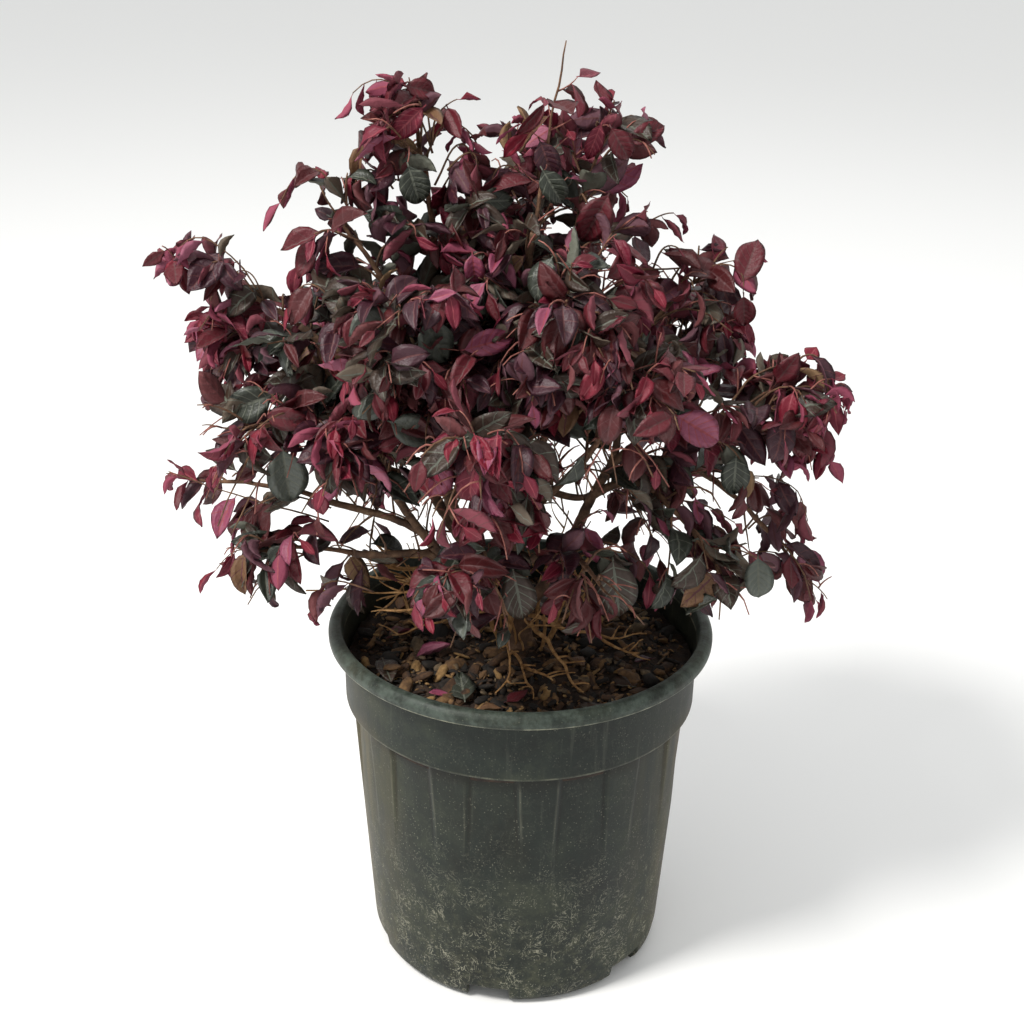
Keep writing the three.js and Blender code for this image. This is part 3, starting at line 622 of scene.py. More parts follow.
class Paint:
    """A material with the nodes that give its colour and its relief."""

    def __init__(self, name, colour, roughness, gloss=None):
        self.material = bpy.data.materials.new(name)
        self.material.use_nodes = True
        self.material.diffuse_color = colour
        self.nodes = self.material.node_tree.nodes
        self.shader = self.nodes["Principled BSDF"]
        self.set("Base Color", colour)
        self.set("Roughness", roughness)
        if gloss is not None:
            self.set("Specular IOR Level", gloss)

    def set(self, name, value):
        self.feed(self.shader.inputs[name], value)

    def feed(self, socket, value):
        """Gives a socket a number, a colour or the output of another node."""
        if isinstance(value, (int, float, tuple)):
            socket.default_value = value
        else:
            self.material.node_tree.links.new(value, socket)

    def node(self, kind, inputs):
        node = self.nodes.new(kind)
        for name, value in inputs.items():
            self.feed(node.inputs[name], value)
        return node

    def place(self, stretch=(1, 1, 1)):
        """The place on the object in metres, stretched by a scale."""
        origin = self.nodes.new("ShaderNodeTexCoord").outputs["Object"]
        return self.node("ShaderNodeMapping", {"Vector": origin, "Scale": stretch}).outputs["Vector"]

    def mottle(self, vector, scale, detail=4.0, roughness=0.55, distortion=0.0):
        """A cloudy value from 0 to 1."""
        texture = self.node("ShaderNodeTexNoise", {
            "Vector": vector, "Scale": scale, "Detail": detail, "Roughness": roughness,
            "Distortion": distortion,
        })
        return texture.outputs["Fac"]

    def ramp(self, value, stops):
        """Colours at shares of a value from 0 to 1."""
        ramp = self.node("ShaderNodeValToRGB", {"Fac": value})
        elements = ramp.color_ramp.elements
        while len(elements) < len(stops):
            elements.new(0.5)
        for element, (position, colour) in zip(elements, stops):
            element.position = position
            element.color = srgb(*colour)
        return ramp.outputs["Color"]

    def fade(self, value, low, high, least=0.0, most=1.0, smooth=True):
        """A share that goes from the least to the most as the value goes from low to high."""
        node = self.node("ShaderNodeMapRange", {
            "Value": value, "From Min": low, "From Max": high, "To Min": least, "To Max": most,
        })
        node.interpolation_type = "SMOOTHSTEP" if smooth else "LINEAR"
        return node.outputs["Result"]

    def calculate(self, operation, one, two=0.0):
        node = self.node("ShaderNodeMath", {0: one, 1: two})
        node.operation = operation
        return node.outputs["Value"]

    def product(self, *values):
        result = values[0]
        for value in values[1:]:
            result = self.calculate("MULTIPLY", result, value)
        return result

    def cover(self, colour, over, share):
        """One colour with another laid over it by a share."""
        node = self.nodes.new("ShaderNodeMix")
        node.data_type = "RGBA"
        for index, value in ((0, share), (6, colour), (7, srgb(*over))):
            self.feed(node.inputs[index], value)
        return node.outputs[2]

    def bump(self, height, strength, distance):
        bump = self.node("ShaderNodeBump", {"Height": height, "Strength": strength, "Distance": distance})
        self.set("Normal", bump.outputs["Normal"])


def leaf_material(name, colour, roughness):
    paint = Paint(name, srgb(*colour), roughness, LEAF_GLOSS)
    paint.bump(paint.mottle(paint.place(), 480, 3, 0.6), 0.8, 0.0008)
    return paint.material


def rough_material(name, shades, roughness, patches, stops, grain, relief):
    """A dark, a middle and a light shade in patches, and a grain that stands out a little."""
    paint = Paint(name, srgb(*shades[1]), roughness)
    vector = paint.place()
    paint.set("Base Color", paint.ramp(paint.mottle(vector, *patches), list(zip(stops, shades))))
    paint.bump(paint.mottle(vector, *grain), *relief)
    return paint.material


def bark_material(name, scale, *shades):
    patches = (scale, 6, 0.65)
    return rough_material(name, shades, 0.85, patches, (0.32, 0.52, 0.7), (scale * 6, 4), (0.6, 0.0006))


def soil_material():
    shades = ((24, 17, 13), (44, 31, 22), (70, 50, 34))
    patches = (120, 8, 0.7)
    return rough_material("compost", shades, 0.95, patches, (0.35, 0.52, 0.74), (420, 5), (0.9, 0.0012))


class PotPaint(Paint):
    """Dull dark plastic with scuffs and lime specks, most near the foot, a painted brown reflection at its
    left and right sides, and painted shade and highlights at the flutes and the band.
    """

    def __init__(self):
        super().__init__("pot_plastic", srgb(37, 42, 36), 0.5, POT_GLOSS)
        self.vector = self.place()
        split = self.node("ShaderNodeSeparateXYZ", {"Vector": self.vector})
        self.across, self.depth, self.height = split.outputs
        self.sideways = self.calculate("ABSOLUTE", self.across)
        self.cloud = self.mottle(self.vector, 16, 9, 0.72)
        self.colour = self.ramp(self.cloud, [(0.34, (14, 20, 17)), (0.5, (27, 34, 30)), (0.68, (50, 55, 45))])
        # Thin pale streaks that run down the wall
        self.streaks = self.mottle(self.place((1, 1, 0.06)), 190, 4, 0.6)
        self.lay((96, 98, 86), self.fade(self.streaks, 0.56, 0.8, 0, 0.22))
        self.lay_flute_shade_and_highlights()
        self.lay_side_reflection()
        bloom = self.lay_bloom()
        self.lay_scuffs()
        specks = self.lay_specks()
        self.lay_wear_and_edge_highlight()
        self.set("Base Color", self.colour)
        plain = self.fade(self.cloud, 0.3, 0.7, 0.44, 0.58)
        self.set("Roughness", self.calculate("ADD", plain, self.product(bloom, 0.4)))
        grain = self.mottle(self.vector, 700, 3)
        self.bump(self.calculate("ADD", grain, self.product(specks, 1.2)), 0.25, 0.0004)

    def lay(self, colour, *shares):
        """Lays a colour over the pot by the product of the shares, and gives that product back."""
        share = self.product(*shares)
        self.colour = self.cover(self.colour, colour, share)
        return share

    def level(self, low, high, least=0.0, most=1.0):
        """A share that goes from the least to the most between two heights."""
        return self.fade(self.height, low * MM, high * MM, least, most)

    def past_flute_edge(self):
        """How far beyond the edge of the nearest flute a place is, as a turn about the pot's axis."""
        period = 2 * math.pi / FLUTES
        turn = self.calculate("ARCTAN2", self.across, self.calculate("MULTIPLY", self.depth, -1))
        turn = self.calculate("SUBTRACT", turn, FIRST_FLUTE - period / 2)
        turn = self.calculate("SUBTRACT", self.calculate("FLOORED_MODULO", turn, period), period / 2)
        half = self.fade(self.height, FLUTE_FADES_AT * MM, WALL_TOP * MM,
                         FLUTE_FADED_HALF_WIDTH, FLUTE_HALF_WIDTH, smooth=False)
        return self.calculate("SUBTRACT", self.calculate("ABSOLUTE", turn), half)

    def lay_flute_shade_and_highlights(self):
        """Painted shade just inside the edges of the flutes, a painted highlight along their edges, broken up
        by the streaks, and painted shade in the corner under the band.
        """
        past = self.past_flute_edge()
        fluted = self.product(self.level(118, 165), self.level(WALL_TOP + 0.5, WALL_TOP - 0.5))
        # Painted shade: a dark line just inside each flute's edge
        self.lay((14, 17, 14), self.fade(past, -2.6 * FLUTE_EDGE, -1.2 * FLUTE_EDGE),
                 self.fade(past, 0, -0.9 * FLUTE_EDGE), fluted, 0.75)
        # Painted highlight: a pale line along each flute's edge
        self.lay((104, 104, 90), self.fade(past, 0.2 * FLUTE_EDGE, 0.8 * FLUTE_EDGE),
                 self.fade(past, 2 * FLUTE_EDGE, 1.1 * FLUTE_EDGE), fluted,
                 self.fade(self.streaks, 0.4, 0.62, 0.05, 0.35))
        # Painted shade in the corner under the band
        self.lay((16, 18, 14), self.level(192, 203), self.level(BAND_FOOT - 0.1, BAND_FOOT - 0.3), 0.85)

    def lay_side_reflection(self):
        """A painted brown reflection at the left and right sides as the camera sees them, in cloudy patches,
        strongest at the very edges, lower down and on the left.
        """
        # Painted reflection: brown at the pot's left and right sides as the camera sees them
        side_mottle = self.mottle(self.place((1, 1, 0.2)), 55, 7, 0.65)
        self.lay((88, 81, 54), self.fade(self.sideways, 0.066, 0.12, 0.06, 0.66),
                 self.fade(side_mottle, 0.36, 0.64, 0.2, 1), self.level(220, 200, 0.25, 0.9),
                 self.fade(self.across, -0.03, 0.06, 1, 0.55))
        edge_mottle = self.mottle(self.place((1, 1, 0.3)), 30, 7, 0.7)
        self.lay((98, 80, 52), self.fade(self.sideways, 0.098, 0.116, 0, 0.34),
                 self.fade(edge_mottle, 0.38, 0.6), self.level(225, 200, 0.15, 1))

    def lay_bloom(self):
        """A chalky bloom from splashes, denser towards the foot."""
        bloom = self.mottle(self.vector, 130, 9, 0.8)
        return self.lay((118, 115, 90), self.fade(bloom, 0.46, 0.7), self.level(150, 5), 0.28)

    def lay_scuffs(self):
        """Curled scuffs in patches."""
        curls = self.mottle(self.vector, 80, 3, 0.6, 2.6)
        line = self.calculate("ABSOLUTE", self.calculate("SUBTRACT", curls, 0.5))
        patches = self.mottle(self.vector, 60, 6, 0.7)
        self.lay((156, 153, 134), self.fade(line, 0.026, 0.01), self.fade(patches, 0.44, 0.62),
                 self.level(160, 30, 0.05, 0.72))

    def lay_specks(self):
        """Lime specks and grains of dry soil."""
        specks = self.node("ShaderNodeTexVoronoi", {"Vector": self.vector, "Scale": 430, "Randomness": 1})
        patches = self.mottle(self.vector, 70, 6, 0.7)
        return self.lay((150, 148, 130), self.fade(specks.outputs["Distance"], 0.26, 0.12),
                        self.fade(patches, 0.42, 0.62, 0.05, 1), self.level(230, 20, 0.2, 0.7))

    def lay_wear_and_edge_highlight(self):
        """A paler lip, and wear along its lower edge, and along the band's foot a pale line that is partly
        wear and partly a painted highlight on the rounded edge.
        """
        wear_and_highlight_mottle = self.mottle(self.vector, 75, 7, 0.72)
        self.lay((82, 92, 84), self.level(LIP_FOOT - 0.8, LIP_FOOT + 0.5),
                 self.fade(wear_and_highlight_mottle, 0.36, 0.66, 0.05, 0.7))
        # Along the band's foot, partly wear and partly a painted highlight on the rounded edge
        band_edge_wear_and_highlight = self.product(self.level(BAND_FOOT + 0.1, BAND_FOOT + 0.4),
                                 self.level(BAND_FOOT + 2, BAND_FOOT + 1.4), 0.25)
        lip_edge = self.product(self.level(LIP_FOOT - 0.6, LIP_FOOT - 0.2),
                                self.level(LIP_FOOT + 1.6, LIP_FOOT + 0.9), 0.7)
        self.lay((150, 148, 126), self.calculate("ADD", band_edge_wear_and_highlight, lip_edge),
                 self.fade(wear_and_highlight_mottle, 0.4, 0.62, 0.15, 1))


# Pot

def smoothstep(value, low, high):
    t = np.clip((value - low) / (high - low), 0, 1)
    return t * t * (3 - 2 * t)


def wall_radius(height):
    return mix(WALL_FOOT_RADIUS, WALL_TOP_RADIUS, share_of(height, WALL_FOOT, WALL_TOP))


def rounded(profile):
    """The profile with each corner replaced by a short arc, as far back as its third number says.

    A point just before the arc and one just after it keep the shading of the flat parts flat.
    """
    points = []
    for index, (radius, height, cut) in enumerate(profile):
        corner = np.array([radius, height], float)
        if cut == 0:
            points.append(corner)
            continue
        before = np.array(profile[index - 1][:2], float)
        after = np.array(profile[index + 1][:2], float)
        start = corner + unit(before - corner) * cut
        end = corner + unit(after - corner) * cut
        points.append(start + unit(before - corner) * FLAT_MARGIN)
        for step in range(ARC_STEPS + 1):
            t = step / ARC_STEPS
            points.append(mix(mix(start, corner, t), mix(corner, end, t), t))
        points.append(end + unit(after - corner) * FLAT_MARGIN)
    return points


def pot_profile():
    """The section of the pot, from the middle of its underside round to the middle of its floor."""
    wall = []
    for step in range(1, WALL_STEPS):
        height = mix(WALL_FOOT + 4, WALL_TOP - 2.2, step / WALL_STEPS)
        wall.append((wall_radius(height), height, 0))
    outside = [
        (0.5, 0, 0), (NOTCH_INNER_RADIUS - 0.6, 0, 0), (NOTCH_INNER_RADIUS + 0.6, 0, 0),
        (FOOT_RADIUS, 0, 1.5),
        (FOOT_BEND_RADIUS, FOOT_BEND, 2), (WALL_FOOT_RADIUS, WALL_FOOT, 2.5), *wall,
        (WALL_TOP_RADIUS, WALL_TOP, 0.5), (BAND_FOOT_RADIUS, BAND_FOOT, 1.3),
        (mix(BAND_FOOT_RADIUS, BAND_RADIUS, 0.5), mix(BAND_FOOT, LIP_FOOT, 0.5), 0),
        (BAND_RADIUS, LIP_FOOT - LIP_UNDERCUT, 1.2),
        (LIP_RADIUS - 0.4, LIP_FOOT, 1.6), (LIP_RADIUS, POT_HEIGHT - 4.5, 1.8),
        (LIP_TOP_RADIUS - 1, POT_HEIGHT, 2.4), (LIP_INNER_RADIUS, POT_HEIGHT - 0.6, 1.3),
    ]
    inside = [
        (MOUTH_RADIUS - 0.8, POT_HEIGHT - 9, 1), (BAND_INNER_FOOT_RADIUS, BAND_FOOT + 2, 1),
        (WALL_TOP_RADIUS - WALL_THICKNESS, BAND_FOOT - 2, 1),
        (wall_radius(RAISED_FLOOR) - WALL_THICKNESS, RAISED_FLOOR, 1),
        (RAISED_FLOOR_RADIUS + RAISED_FLOOR_SLOPE, RAISED_FLOOR, 0),
        (RAISED_FLOOR_RADIUS, FLOOR_THICKNESS, 0),
        (0.5, FLOOR_THICKNESS, 0),
    ]
    return rounded(outside + inside)


def flute_recess(angles, height, radius):
    if height < FLUTE_FADES_AT or height > WALL_TOP or radius < wall_radius(height) - 1:
        return np.zeros_like(angles)
    full = share_of(height, FLUTE_FADES_AT, WALL_TOP)
    half = mix(FLUTE_FADED_HALF_WIDTH, FLUTE_HALF_WIDTH, full)
    period = 2 * math.pi / FLUTES
    turn = np.abs((angles - FIRST_FLUTE + period / 2) % period - period / 2)
    return FLUTE_DEPTH * full ** 0.7 * (1 - smoothstep(turn, half - FLUTE_EDGE, half + FLUTE_EDGE))


def make_pot():
    columns = np.arange(POT_COLUMNS)
    angles = columns / POT_COLUMNS * 2 * math.pi - math.pi
    notch_turn = (angles - FIRST_NOTCH + math.pi / NOTCHES) % (2 * math.pi / NOTCHES) - math.pi / NOTCHES
    # A moulded pot is never quite round, least of all towards its top
    wobble = sum(size * np.sin(count * angles + start) for size, count, start in POT_WAVES)
    rings = []
    for radius, height in pot_profile():
        out = radius - flute_recess(angles, height, radius)
        out = out + wobble * share_of(height, 20, 200) * share_of(radius, 90, 110)
        out = out - 0.4 * share_of(radius, 120, 130)
        level = np.full(POT_COLUMNS, float(height))
        in_notch = np.abs(notch_turn) * radius < NOTCH_WIDTH / 2
        if radius > NOTCH_INNER_RADIUS and height < NOTCH_HEIGHT:
            level[in_notch] = NOTCH_HEIGHT
        rings.append(np.stack([out * np.sin(angles), -out * np.cos(angles), level], axis=1))
    gathered = Gathered()
    gathered.add(np.concatenate(rings), ring_quads(len(rings), POT_COLUMNS))
    cut_drain_holes(gathered.piece("nursery_pot", [PotPaint().material], "pot_plastic", ["pot"]))


def cut_drain_holes(pot):
    drills = Gathered()
    for notch in range(NOTCHES):
        turn = FIRST_NOTCH + notch * 2 * math.pi / NOTCHES
        foot = np.array([
            DRAIN_HOLE_PLACE * math.sin(turn),
            -DRAIN_HOLE_PLACE * math.cos(turn),
            NOTCH_HEIGHT - DRILL_MARGIN,
        ])
        middle = Curve(foot, foot + UP * DRILL_LENGTH)
        drills.add(*tube(middle, DRILL_SIDES, 1, taper(DRAIN_HOLE_RADIUS, DRAIN_HOLE_RADIUS)))
    drill = add_object("drills", drills.mesh("drills"))
    cut = pot.modifiers.new("drain_holes", "BOOLEAN")
    cut.operation = "DIFFERENCE"
    cut.solver = "EXACT"
    cut.object = drill
    bpy.context.view_layer.update()
    result = bpy.data.meshes.new_from_object(pot.evaluated_get(bpy.context.evaluated_depsgraph_get()))
    pot.modifiers.clear()
    pot.data = result
    bpy.data.objects.remove(drill)


# Compost, with bark chips and crumbs on it

def soil_height(x, y):
    out = math.hypot(x, y)
    level = mix(SOIL_TOP - 1.5, SOIL_EDGE_TOP - 3, share_of(out, 20, SOIL_RADIUS))
    for scale, layer, height in SOIL_RELIEF:
        level += noise.noise(Vector((x * scale, y * scale, layer))) * height
    return level


def make_soil():
    random = Seeded(SOIL_SEED)
    rings = []
    for step in range(SOIL_RINGS):
        radius = 0.5 + (SOIL_RADIUS - 0.9) * step / (SOIL_RINGS - 1)
        ring = []
        for column in range(SOIL_COLUMNS):
            angle = column / SOIL_COLUMNS * 2 * math.pi
            x = radius * math.cos(angle)
            y = radius * math.sin(angle)
            ring.append((x, y, soil_height(x, y) + random.around(0.5)))
        rings.append(ring)
    rings.append([(0.96 * x, 0.96 * y, SOIL_FOOT) for x, y, _ in rings[-1]])
    gathered = Gathered()
    gathered.add(np.array(rings).reshape(-1, 3), ring_quads(len(rings), SOIL_COLUMNS)[:, ::-1])
    gathered.piece("compost", [soil_material()], "compost", ["soil"])


def chunk(random, centre, length, breadth, flatness, sides, stations):
    """A splinter of bark: a short faceted body, lying roughly flat."""
    turn = random.between(0, math.pi)
    tilt = random.around(0.6)
    along = np.array([math.cos(turn) * math.cos(tilt), math.sin(turn) * math.cos(tilt), math.sin(tilt)])
    across = perpendicular(along, np.array([-math.sin(turn), math.cos(turn), random.around(0.8)]))
    up = np.cross(along, across)
    points = []
    for station, width in stations:
        middle = centre + along * length * station + across * breadth * random.around(0.12)
        for side in range(sides):
            angle = side / sides * 2 * math.pi
            reach = breadth / 2 * width * random.between(0.72, 1.15)
            offset = across * math.cos(angle) * reach + up * math.sin(angle) * reach * flatness
            points.append(middle + offset)
    return np.array(points), ring_quads(len(stations), sides)


# Each station is a share of the length from the middle, and the share of the breadth there
CHIP_STATIONS = [(-0.5, 0.35), (-0.36, 0.8), (0.0, 1.0), (0.34, 0.8), (0.5, 0.4)]
CRUMB_STATIONS = [(-0.5, 0.5), (0.0, 1.0), (0.5, 0.5)]
# The scale of the patches on the chips, the shades of each tint, and how many in eleven have it
CHIP_MOTTLE = 160
CHIP_TINTS = [
    ("chip_umber", 3, (34, 22, 14), (66, 44, 26), (96, 68, 42)),
    ("chip_brown", 3, (58, 41, 26), (98, 71, 44), (134, 103, 66)),
    ("chip_tan", 1, (98, 74, 44), (142, 110, 68), (176, 144, 96)),
    ("chip_grey", 1, (56, 46, 36), (96, 80, 60), (130, 112, 86)),
    ("chip_black", 3, (13, 10, 8), (26, 20, 15), (44, 33, 24)),
]
BIG_CHIP_EVERY = 9
# The least and the most length, and then the breadth and the flatness as shares
CHUNK_SIZES = {
    "crumb": ((2, 5), (0.5, 0.9), (0.5, 0.9)),
    "chip": ((6, 16), (0.35, 0.7), (0.25, 0.6)),
    "big chip": ((13, 24), (0.5, 0.8), (0.4, 0.75)),
}
CHIP_SHORTENED = (0.7, 1)


def chunk_size(random, kind):
    """The length, breadth and flatness of a crumb, a chip or a big chip."""
    lengths, breadths, flatnesses = CHUNK_SIZES[kind]
    length = random.between(*lengths)
    if kind == "chip":
        length *= random.between(*CHIP_SHORTENED)
    return length, length * random.between(*breadths), random.between(*flatnesses)


def make_chips():
    random = Seeded(CHIP_SEED)
    tints = [bark_material(name, CHIP_MOTTLE, *shades) for name, _, *shades in CHIP_TINTS]
    weights = [index for index, (_, share, *_) in enumerate(CHIP_TINTS) for _ in range(share)]
    gathered = Gathered()
    for index in range(CHIPS + CRUMBS):
        crumb = index >= CHIPS
        margin = CRUMB_MARGIN if crumb else CHIP_MARGIN
        out = (SOIL_RADIUS - margin) * math.sqrt(random.next())
        turn = random.between(0, 2 * math.pi)
        x = out * math.cos(turn)
        y = out * math.sin(turn)
        size = chunk_size(random, "crumb" if crumb else "chip")
        if not crumb and index % BIG_CHIP_EVERY == 0:
            size = chunk_size(random, "big chip")
        centre = np.array([x, y, soil_height(x, y) + random.between(0.2, 3.0)])
        form = (4, CRUMB_STATIONS) if crumb else (6, CHIP_STATIONS)
        gathered.add(*chunk(random, centre, *size, *form), random.pick(weights))
    gathered.piece("bark_chips", tints, "compost", smooth=False)


# Limbs

def stem_curve(mass):
    name, _, root, tip, _ = mass
    root = place(*root)
    tip = place(*tip)
    end = mix(root, tip, 1 if name in BARE_STEMS else STEM_SHARE)
    middle = mix(root, end, 0.5) + UP * STEM_ARCH * np.linalg.norm(tip - root)
    return Curve(root, middle, end)


def limb_curve(start, start_aim, end, end_aim):
    bow = np.linalg.norm(end - start) * BOUGH_BOW
    return Curve(start, start + start_aim * bow, end - end_aim * bow, end)


TRUNK = Curve(
    (0, 0, SOIL_TOP - 6),
    (0, 0, SOIL_TOP + FORK_HEIGHT * TRUNK_BEND),
    np.array([0, 0, SOIL_TOP + FORK_HEIGHT * (1 - TRUNK_BEND)]) + TRUNK_LEAN,
    np.array([0, 0, SOIL_TOP + FORK_HEIGHT]) + TRUNK_LEAN,
)


def trunk_radius(t):
    height = t * FORK_HEIGHT
    flare = (TRUNK_FLARE_RADIUS - TRUNK_RADIUS) * (1 - share_of(height, 0, FLARE_HEIGHT)) ** 2
    return mix(TRUNK_RADIUS, FORK_RADIUS, t) + flare


def limb_curves():
    """Each limb's name, curve and radius along it, worked out as for the solids."""
    limbs = [("trunk", TRUNK, trunk_radius)]
    for bough, height, turn, masses in CROWN:
        first = stem_curve(masses[0])
        t = height / FORK_HEIGHT
        start_aim = TRUNK.aim(t)
        if t < 1:
            outward = place(turn, 1, 0) * (1, 1, 0)
            start_aim = unit(start_aim * BOUGH_RISE + outward)
        main = limb_curve(TRUNK.at(t), start_aim, first.at(0), first.aim(0))
        limbs.append((f"bough_{bough}", main, taper(MAIN_BOUGH_RADIUS, BOUGH_TIP_RADIUS)))
        for mass in masses[1:]:
            stem = stem_curve(mass)
            start = main.at(mass[1])
            start_aim = unit(unit(stem.at(0) - start) + main.aim(mass[1]))
            side = limb_curve(start, start_aim, stem.at(0), stem.aim(0))
            limbs.append((f"bough_{mass[0]}", side, taper(SIDE_BOUGH_RADIUS, BOUGH_TIP_RADIUS)))
    return limbs


def relief_of(layers):
    """How far bark with these layers stands out at a point, from the limb's radius there."""
    def relief(point, radius):
        x, y, z = point
        total = 0
        for across, along, height in layers:
            total += height * noise.noise(Vector((x * across, y * across, z * along)))
        return radius * total
    return relief


def make_limbs(limbs):
    bark = bark_material("bark", 90, (54, 38, 30), (98, 72, 54), (140, 112, 86))
    gathered = Gathered()
    for name, curve, radii in limbs:
        steps = max(FEWEST_LIMB_STEPS, round(curve.length() / LIMB_STEP))
        sides = TRUNK_SIDES if name == "trunk" else BOUGH_SIDES
        gathered.add(*tube(curve, sides, steps, radii, relief_of(BARK_LAYERS)))
    names = ["trunk"] + [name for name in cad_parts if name.startswith("bough_")]
    gathered.piece("trunk_and_boughs", [bark], "bark", names)


def limb_balls(limbs):
    """Where the limbs are, as the middles and radii of balls along them."""
    balls = []
    for _, curve, radii in limbs:
        count = math.ceil(curve.length() / BALL_SPACING)
        for step in range(count + 1):
            balls.append((*curve.at(step / count), radii(step / count)))
    return np.array(balls)


# Leaves

# Half-breadths of a leaf at shares of its length, from its foot to its drawn-out tip
OUTLINE_AT = [0, 0.04, 0.1, 0.2, 0.32, 0.44, 0.56, 0.68, 0.79, 0.88, 0.95, 1]
OUTLINE = [0.05, 0.26, 0.52, 0.8, 0.96, 1, 0.95, 0.81, 0.6, 0.36, 0.15, 0.02]
VEIN_SLANT = 0.16
LARGE_VEIN_SLANT = 0.24
VEIN_RELIEF = 0.019
MIDRIB_DEPTH = 1.2
LEAF_THICKNESS = 0.45
PETIOLE_RADIUS = 0.55
PETIOLE_LENGTH = 3
# Half-breadths at which the lengthwise lines of a leaf's net run; the middle pair bounds its midrib
NET_ACROSS = np.array([-1, -0.55, -0.08, 0.08, 0.55, 1])
MIDRIB_COLUMN = 2
# Shares of the length where the first and last side veins meet the midrib
FIRST_VEIN = 0.1
LAST_VEIN = 0.8
# How a leaf is folded along its midrib and bent along its length, in radians from the least to the
# most, how high its waves are as shares of its length, and how far its tip is twisted at most
LEAF_FOLD = (0.05, 0.9)
LEAF_BEND = (-0.3, 1.35)
LEAF_WAVE = (0.0, 0.055)
LEAF_TWIST = 0.8
WAVES_PER_LEAF = 1.2
LEAST_BEND = 0.01
# The fold, bend and twist of a leaf that stands out
MARKED_CURL = (0.42, 0.85, 0.3)
LEAF_GLOSS = 0.42
RIB_ROUGHNESS = 0.55


def plain_rows(rows):
    """Rows from a leaf's foot to its tip, low and high by turns, with no strips in the colour of veins."""
    along = np.linspace(0, 1, rows + 1) ** 0.92
    height = np.where(np.arange(rows + 1) % 2 == 0, -1.0, 1.0)
    return along, height, np.zeros(rows, bool)


def veined_rows(veins, half_width):
    """Rows with a narrow low strip along each side vein and a high line between two of them."""
    along = [0.0]
    height = [0.0]
    veined = []
    for vein in range(veins):
        middle = mix(FIRST_VEIN, LAST_VEIN, vein / (veins - 1))
        if vein > 0:
            along.append(middle - 0.35 / (veins - 1))
            height.append(1.0)
            veined.append(False)
        along += [middle - half_width, middle + half_width]
        height += [-1.0, -1.0]
        veined += [False, True]
    return np.array([*along, 1.0]), np.array([*height, 0.0]), np.array([*veined, False])


class LeafGrid:
    """The net of one leaf: rows that follow its side veins, and a stalk of one more row."""

    def __init__(self, rows, vein_slant):
        along, height, self.veined = rows
        swell = np.sin(math.pi * along)[:, None]
        slant = vein_slant * swell * np.abs(NET_ACROSS)[None, :]
        self.along = np.clip(along[:, None] + slant, 0, 1)
        self.across = np.broadcast_to(NET_ACROSS, self.along.shape)
        self.half = np.interp(self.along, OUTLINE_AT, OUTLINE)
        self.relief = height[:, None] * swell * (1 - self.across ** 2)
        self.relief = self.relief - MIDRIB_DEPTH * (np.abs(self.across) < 0.1) * swell
        self.make_quads()

    def make_quads(self):
        """The upper side and the underside, which share the points along the leaf's edge."""
        rows = len(self.veined) + 2
        columns = len(NET_ACROSS)
        top = np.arange(rows * columns).reshape(rows, columns)
        under = top.copy()
        inner = rows * columns + np.arange((rows - 2) * (columns - 2)).reshape(rows - 2, columns - 2)
        under[1:-1, 1:-1] = inner
        self.quads = np.concatenate([self.net(top), self.net(under)[:, [0, 3, 2, 1]]])
        count = (rows - 1) * (columns - 1)
        self.under_faces = np.repeat([0, 1], count)
        column = np.tile(np.arange(columns - 1), 2 * (rows - 1))
        row = np.tile(np.repeat(np.arange(rows - 1), columns - 1), 2)
        veined = np.concatenate([[False], self.veined])
        self.rib_faces = (column == MIDRIB_COLUMN) | (row == 0) | veined[row]

    def net(self, grid):
        return np.stack([grid[:-1, :-1], grid[:-1, 1:], grid[1:, 1:], grid[1:, :-1]], axis=-1).reshape(-1, 4)

    def points(self, leaf):
        """The leaf's points, folded along its midrib, bent along its length, waved and twisted."""
        length = leaf.length
        flat = self.across * self.half * leaf.breadth / 2
        wave = np.sin(2 * math.pi * (WAVES_PER_LEAF * self.along + leaf.phase)) * self.across ** 2
        lift = np.abs(flat) * math.sin(leaf.fold) + leaf.wave * length * wave
        lift = lift + VEIN_RELIEF * length * self.relief
        x, lift, y = self.with_stalk(flat * math.cos(leaf.fold), lift, PETIOLE_LENGTH / length)
        angle = leaf.bend * np.maximum(y, 0)
        turn = leaf.twist * np.maximum(y, 0)
        x, lift = x * np.cos(turn) - lift * np.sin(turn), x * np.sin(turn) + lift * np.cos(turn)
        bend = leaf.bend if abs(leaf.bend) > LEAST_BEND else LEAST_BEND
        middle_y = np.where(y > 0, length * np.sin(angle) / bend, length * y)
        middle_z = np.where(y > 0, -length * (1 - np.cos(angle)) / bend, 0)
        normal = np.stack([np.zeros_like(angle), np.sin(angle), np.cos(angle)], axis=-1)
        top = np.stack([x, middle_y, middle_z], axis=-1) + normal * lift[..., None]
        under = (top - normal * LEAF_THICKNESS)[1:-1, 1:-1]
        local = np.concatenate([top.reshape(-1, 3), under.reshape(-1, 3)])
        return leaf.base + local @ np.stack([np.cross(leaf.aim, leaf.face), leaf.aim, leaf.face])

    def with_stalk(self, x, lift, stalk):
        """The rows' places across, above and along the leaf, with the stalk's row before them."""
        width = NET_ACROSS * PETIOLE_RADIUS
        return (
            np.concatenate([width[None, :], x]),
            np.concatenate([np.zeros((1, len(width))), lift]),
            np.concatenate([np.full((1, len(width)), -stalk), self.along]),
        )


MARKED_GRID = LeafGrid(veined_rows(6, 0.01), LARGE_VEIN_SLANT)
# The nets of the other leaves, each for those that are longer than so many millimetres
GRIDS = [
    (27, LeafGrid(veined_rows(4, 0.008), LARGE_VEIN_SLANT)),
    (19, LeafGrid(plain_rows(7), VEIN_SLANT)),
    (0, LeafGrid(plain_rows(5), VEIN_SLANT)),
]

